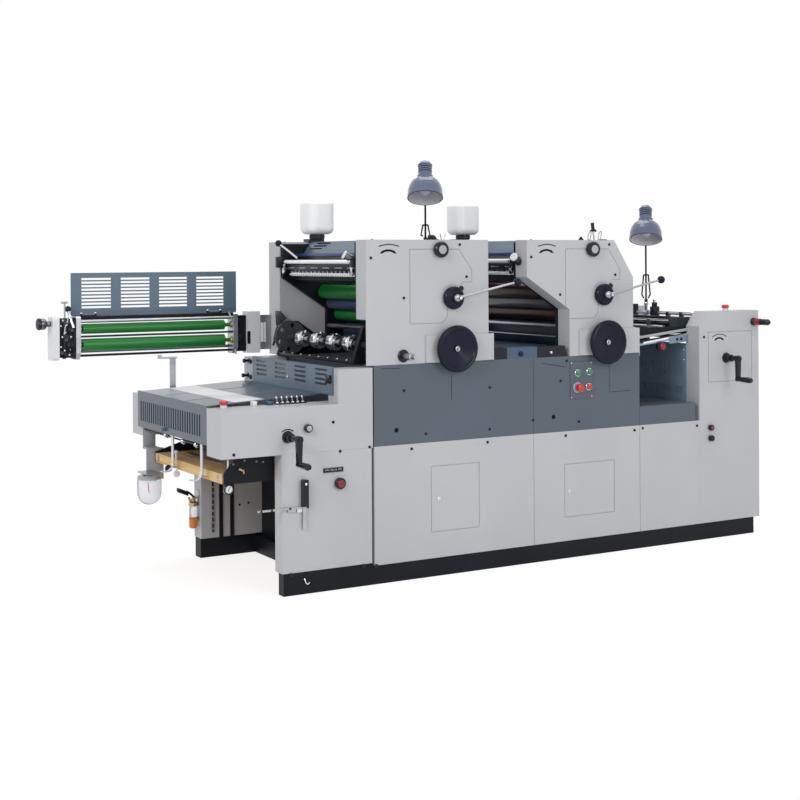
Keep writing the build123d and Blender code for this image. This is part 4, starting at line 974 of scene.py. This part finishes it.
def inkFittings():
    left, right, y = unit["left"], unit["right"], unit["y"]
    knob = (unit["cover"], y, unit["knobZ"])
    screws = [wingScrew((left - 84, y - 5, 1216)), wingScrew((left - 84, y - 12, 1070))]
    rod = bar([(-630, y - 30, 1182), (-636, y - 22, 1222), (-643, y + 4, 1262)], 8, smooth=True)
    keep(screws + [rod], "inkUnitChrome", "chrome", "swing_unit")
    handle = [bar([(-662, y + 4, 1226), (-662, y + 4, 1301)], 4.6),
              bar([(-679, y + 4, 1305), (-647, y + 4, 1305)], 5.4)]
    keep(handle, "inkUnitHandle", "palePlate", "swing_unit")
    lone("inkUnitCup", "darkSteel", [(12, 3), (14, 4), (14, 20), (24.6, 27), (27.8, 34), (27.8, 50), (25, 52)],
         knob, toDelivery, 32, "swing_unit")
    ball = turned([(5, -15), (11, -11.5), (15, -5), (16, 0), (15, 5), (11, 11.5), (5, 15)],
                  (-645, y + 6, 1273), upwards, 24)
    grip = turned([(25, 51), (28.6, 53), (28.6, 62), (26, 65.8), (10, 65.8)], knob, toDelivery, 32)
    keep([ball, toothed(grip, 0, (0, y, unit["knobZ"]), 1.02)], "inkUnitKnobs", "blackGloss", "swing_unit")
    strip = bar([(196, y - 20, 1239), (214, y - 26, 1200), (226, y - 26, 1120), (234, y - 20, 1020)], 5,
                smooth=True)
    keep([strip], "inkUnitStrip", "brightSteel", "swing_unit")
    long = {"inkUnitTie": ("coverPaint", [(44, 1060, 8)]),
            "inkUnitRods": ("blackSteel", [(-14, 1136, 5), (20, 1216, 6)])}
    for name, (paint, bars) in long.items():
        keep([bar([(left + 24, y + dy, z), (right - 24, y + dy, z)], r) for dy, z, r in bars], name, paint,
             "swing_unit")
    pinions = [toothed(turned([(radius, 0), (radius, 10), (radius * 0.5, 11), (1, 11)], (right + 50, gy, gz),
                              toFeeder, 28), 0, (0, gy, gz), 1.14)
               for gy, gz, radius in ((y - 4, 1180, 16), (y + 12, 1148, 13), (y - 6, 1068, 15))]
    keep(pinions, "inkUnitPinions", "blackSteel", "swing_unit")
    # a near-black slab in the hinge's notch: painted shade
    notch = slab((289, hingeLine - 15.8, 1072), (307, hingeLine - 15, 1138), 0.3)
    keep([notch], "hingeNotchShade", "paintedShadeAndPrint", "swing_unit")
    # the cover's hem reaches down between its hinges, and folds with it
    hem = [slab((x0, hingeLine + 72, 1235.4), (x1, hingeLine + 76, 1254), 0)
           for x0, x1 in ((-619, -571), (-489, 99), (181, 265))]
    keep(hem, "coverHem", "coverPaint", "swing_cover")


inkGears()
inkBody()
inkFittings()
print("inking unit done")


# Feeder
def feedHead():
    head = {"across": (116, 926), "clamps": (190, 300, 700, 820),
            "clampBars": [(2415, 1182, 8), (2380, 1150, 9), (2440, 1150, 9)],
            "brightBars": [(2470, 1176, 8), (2452, 1131, 8)], "wheels": 5, "pitch": 160}
    near, far = head["across"]
    dark = [slab((2488, y - 8, 1172), (2514, y + 8, 1210), 3) for y in head["clamps"]]
    dark += [slab((2478, 394, 1168), (2522, 430, 1236), 5), slab((2484, 404, 1236), (2514, 420, 1258), 3),
             slab((2482, 572, 1176), (2518, 606, 1246), 4)]
    dark += [across(*place, head["across"]) for place in head["clampBars"]]
    keep(dark, "feedClamps", "blackSteel")
    keep([across(*place, head["across"]) for place in head["brightBars"]], "feedBars", "steelPaintedShine")
    keep([slab((2500, near, 1199), (2508, far, 1210), 3)], "feedHeadBar", "feedBlue")
    knobs = [turned([(8, 0), (8, 4), (6, 6), (1, 6)], (2502, y - 8, 1196), toOperator, 16)
             for y in head["clamps"]]
    knobs += [turned([(9, 0), (9, 8), (12, 9), (12, 14), (4, 16)], (2499, 412, 1258), upwards, 20),
              across(2352, 1164, 6, head["across"])]
    keep(knobs, "feedKnobs", "chrome")
    wheels = [turned([(8, -9), (22, -8), (24, -5), (24, 5), (22, 8), (8, 9)],
                     (2410, 190 + i * head["pitch"], 1142), toDrive, 26) for i in range(head["wheels"])]
    keep(wheels, "feedWheels", "navyPaint")


def feedTableTop():
    table = {"top": press["bandTop"] + 104, "tapes": (230, 400, 570, 740), "rollerEnds": (120, 929),
             "barEnds": (97, 926), "rollers": ((2300, 16, 11), (2120, 14, 9)),
             "bars": [(2040, 1066, 9), (2100, 1088, 7), (2190, 1078, 11), (2280, 1094, 7), (2372, 1086, 10)]}
    top = table["top"]
    keep([slab((2040, y - 12, top), (2400, y + 12, top + 3), 1) for y in table["tapes"]], "feedTapes",
         "palePlate")
    keep([across(x, top + rise, r, table["rollerEnds"]) for x, rise, r in table["rollers"]], "feedRollers",
         "brightSteel")
    rims = [turned([(8, -6), (16, -5), (17, -3), (17, 3), (16, 5), (8, 6)], (2300, y, top + 40), toDrive, 24)
            for y in table["tapes"]]
    keep(rims, "pressWheels", "castIron")
    keep([slab((2296, y - 4, top + 38), (2418, y + 4, top + 48), 1.5) for y in table["tapes"]], "wheelArms",
         "blackSteel")
    backPlate = slab((2009, 924, 1000), (2450, 930, 1110), 1)
    bars = [across(*place, table["barEnds"]) for place in table["bars"]]
    keep([slab((2344, y, 1126), (2500, y + 11, 1188), 3) for y in (106, 925)], "feedSides", "blackSteel")
    keep([backPlate, *bars], "feedFrame", "blackSteel")


def feedSide():
    # rails on the near side of the feed table, which climb towards the feeder
    rails = {"slopes": [(1068, 14, "palePlate"), (1048, 10, "blackSteel"), (1030, 12, "paleBlue")],
             "knob": (2268, 97, 1034), "cheekScrews": ((2378, 1070), (2406, 1070))}
    for i, (z, height, paint) in enumerate(rails["slopes"]):
        plate = slab((2006, 94 + i, z), (2458, 98 + i, z + height), 0)
        keep([soften(leaning(plate, 2006, 0.1), 1)], f"feedSlope{i + 1}", paint)
    strip = slab((2150, 90, 1052), (2458, 94, 1062), 0)
    keep([soften(leaning(strip, 2150, 0.12), 1)], "feedSlope4", "steelPaintedShine")
    cheek = slab((2326, 86, 1046), (2458, 91, 1086), 2)
    keep([leaning(cheek, 2326, 0.08)], "feedCheek", "feedBlue")
    row("feedCheekScrews", "blackGloss", [(8, 0), (8, 2), (6, 3), (1, 3)], onFace(rails["cheekScrews"], 86),
        sides=18)
    lone("feedKnobHub", "blackGloss", [(27, 0), (27, 14), (22, 18), (19, 18)], rails["knob"], sides=30)
    lone("feedKnobCap", "darkRed", [(19, 17), (20, 22), (18, 28), (10, 31), (1, 32)], rails["knob"], sides=30)
    lone("feedDriveWheel", "paleBlue", [(30, -8), (42, -7), (45, -4), (45, 4), (42, 7), (30, 8)],
         (2072, 84, 1006), toDrive, 36)
    keep([slab((2063, 91, 1000), (2081, 105, 1112), 2)], "feedWheelHanger", "blackSteel")


def feederGuard():
    guard = {"low": (2457.5, 105, 642), "high": (2459, 937, 1043),
             "screws": ((118, 1010), (118, 955), (118, 660), (330, 662), (560, 1010))}
    # a black sheet behind the guard's slots, where there is only shade: painted shade
    keep([slab(guard["low"], guard["high"], 0.4)], "guardSlotShade", "blackPaint")
    row("guardScrews", "chrome", [(6, 0), (6, 3), (4, 4.5), (1, 4.5)],
        [(2451, y, z) for y, z in guard["screws"]], toDelivery)


feedHead()
feedTableTop()
feedSide()
feederGuard()
print("feeder done")


# Lamps
def lampDetails():
    # x, y, the arm's foot, its rise and its heading in degrees
    tie = {1: (1060, press["width"] * 0.489, 1613, 341, 31.2),
           2: (2500, press["width"] * 0.466, 1266, 484, 39.9)}
    lamp = {"lean": 122, "tilt": 22, "neckOut": 76, "neckDown": 26, "strutTop": {1: 74, 2: 150},
            "strutWide": {1: 18, 2: 35}, "rim": 48,
            "liner": [(33, 27), (54, 33.5), (67.5, 46), (76.5, 63), (82.5, 86), (84.8, 110), (84.8, 124.5),
                      (83.8, 124.6), (81.6, 87), (75.6, 64), (66.6, 47), (53, 34.6), (32, 28.2)],
            "bulb": [(13, 26), (14, 40), (20, 52), (27, 66), (29, 80), (25, 96), (15, 106), (4, 110)]}
    for n, (x, y, jointZ, rise, heading) in tie.items():
        arm, shade = f"lamp_arm_{n}", f"lamp_shade_{n}"
        forward = Vector((-sin(radians(heading)), -cos(radians(heading)), 0))
        foot = Vector((x, y, jointZ))
        top = foot + forward * lamp["lean"] + Vector((0, 0, rise))
        down = forward * sin(radians(lamp["tilt"])) - Vector((0, 0, cos(radians(lamp["tilt"]))))
        neck = top + forward * lamp["neckOut"] - Vector((0, 0, lamp["neckDown"]))
        keep([turned(lamp["liner"], neck, down, 48), turned(lamp["bulb"], neck, down, 28)], f"lampLiner{n}",
             "lampLiner", shade)
        rings = [turned([(33.6, low), (35.2, low + 1), (35.2, low + 4), (33.6, low + 5)], neck, down, 36)
                 for low in (-42, -30, -18)]
        side = forward.cross(Vector(upwards)).normalized()
        ahead = Vector(down).cross(side)
        turns = [2 * pi * i / lamp["rim"] for i in range(lamp["rim"] + 1)]
        rim = [neck + Vector(down) * 124 + (side * cos(turn) + ahead * sin(turn)) * 88 for turn in turns]
        rings.append(bar(rim, 1.8))
        keep(rings, f"lampRings{n}", "navyGloss", shade)
        along = (top - foot).normalized()
        wide, high = lamp["strutWide"][n], lamp["strutTop"][n]
        bows = ((14, 12), (wide, 23), (high, 13))
        struts = [bar([foot + along * up + side * way * out for up, out in bows], 4.4) for way in (-1, 1)]
        struts.append(bar([foot + along * high + side * way * 15 for way in (-1, 1)], 4.5))
        keep(struts, f"lampStruts{n}", "blackSteel", arm)
        lone(f"lampJointCap{n}", "blackGloss", [(10, -2.5), (10, 0), (8, 2), (1, 2)], top + side * 12.5, side,
             20, shade)
        lone(f"lampFoot{n}", "brass", [(12, -24), (14, -22), (14, -17), (11, -16)], foot, upwards, 24)


lampDetails()
print("lamps done")
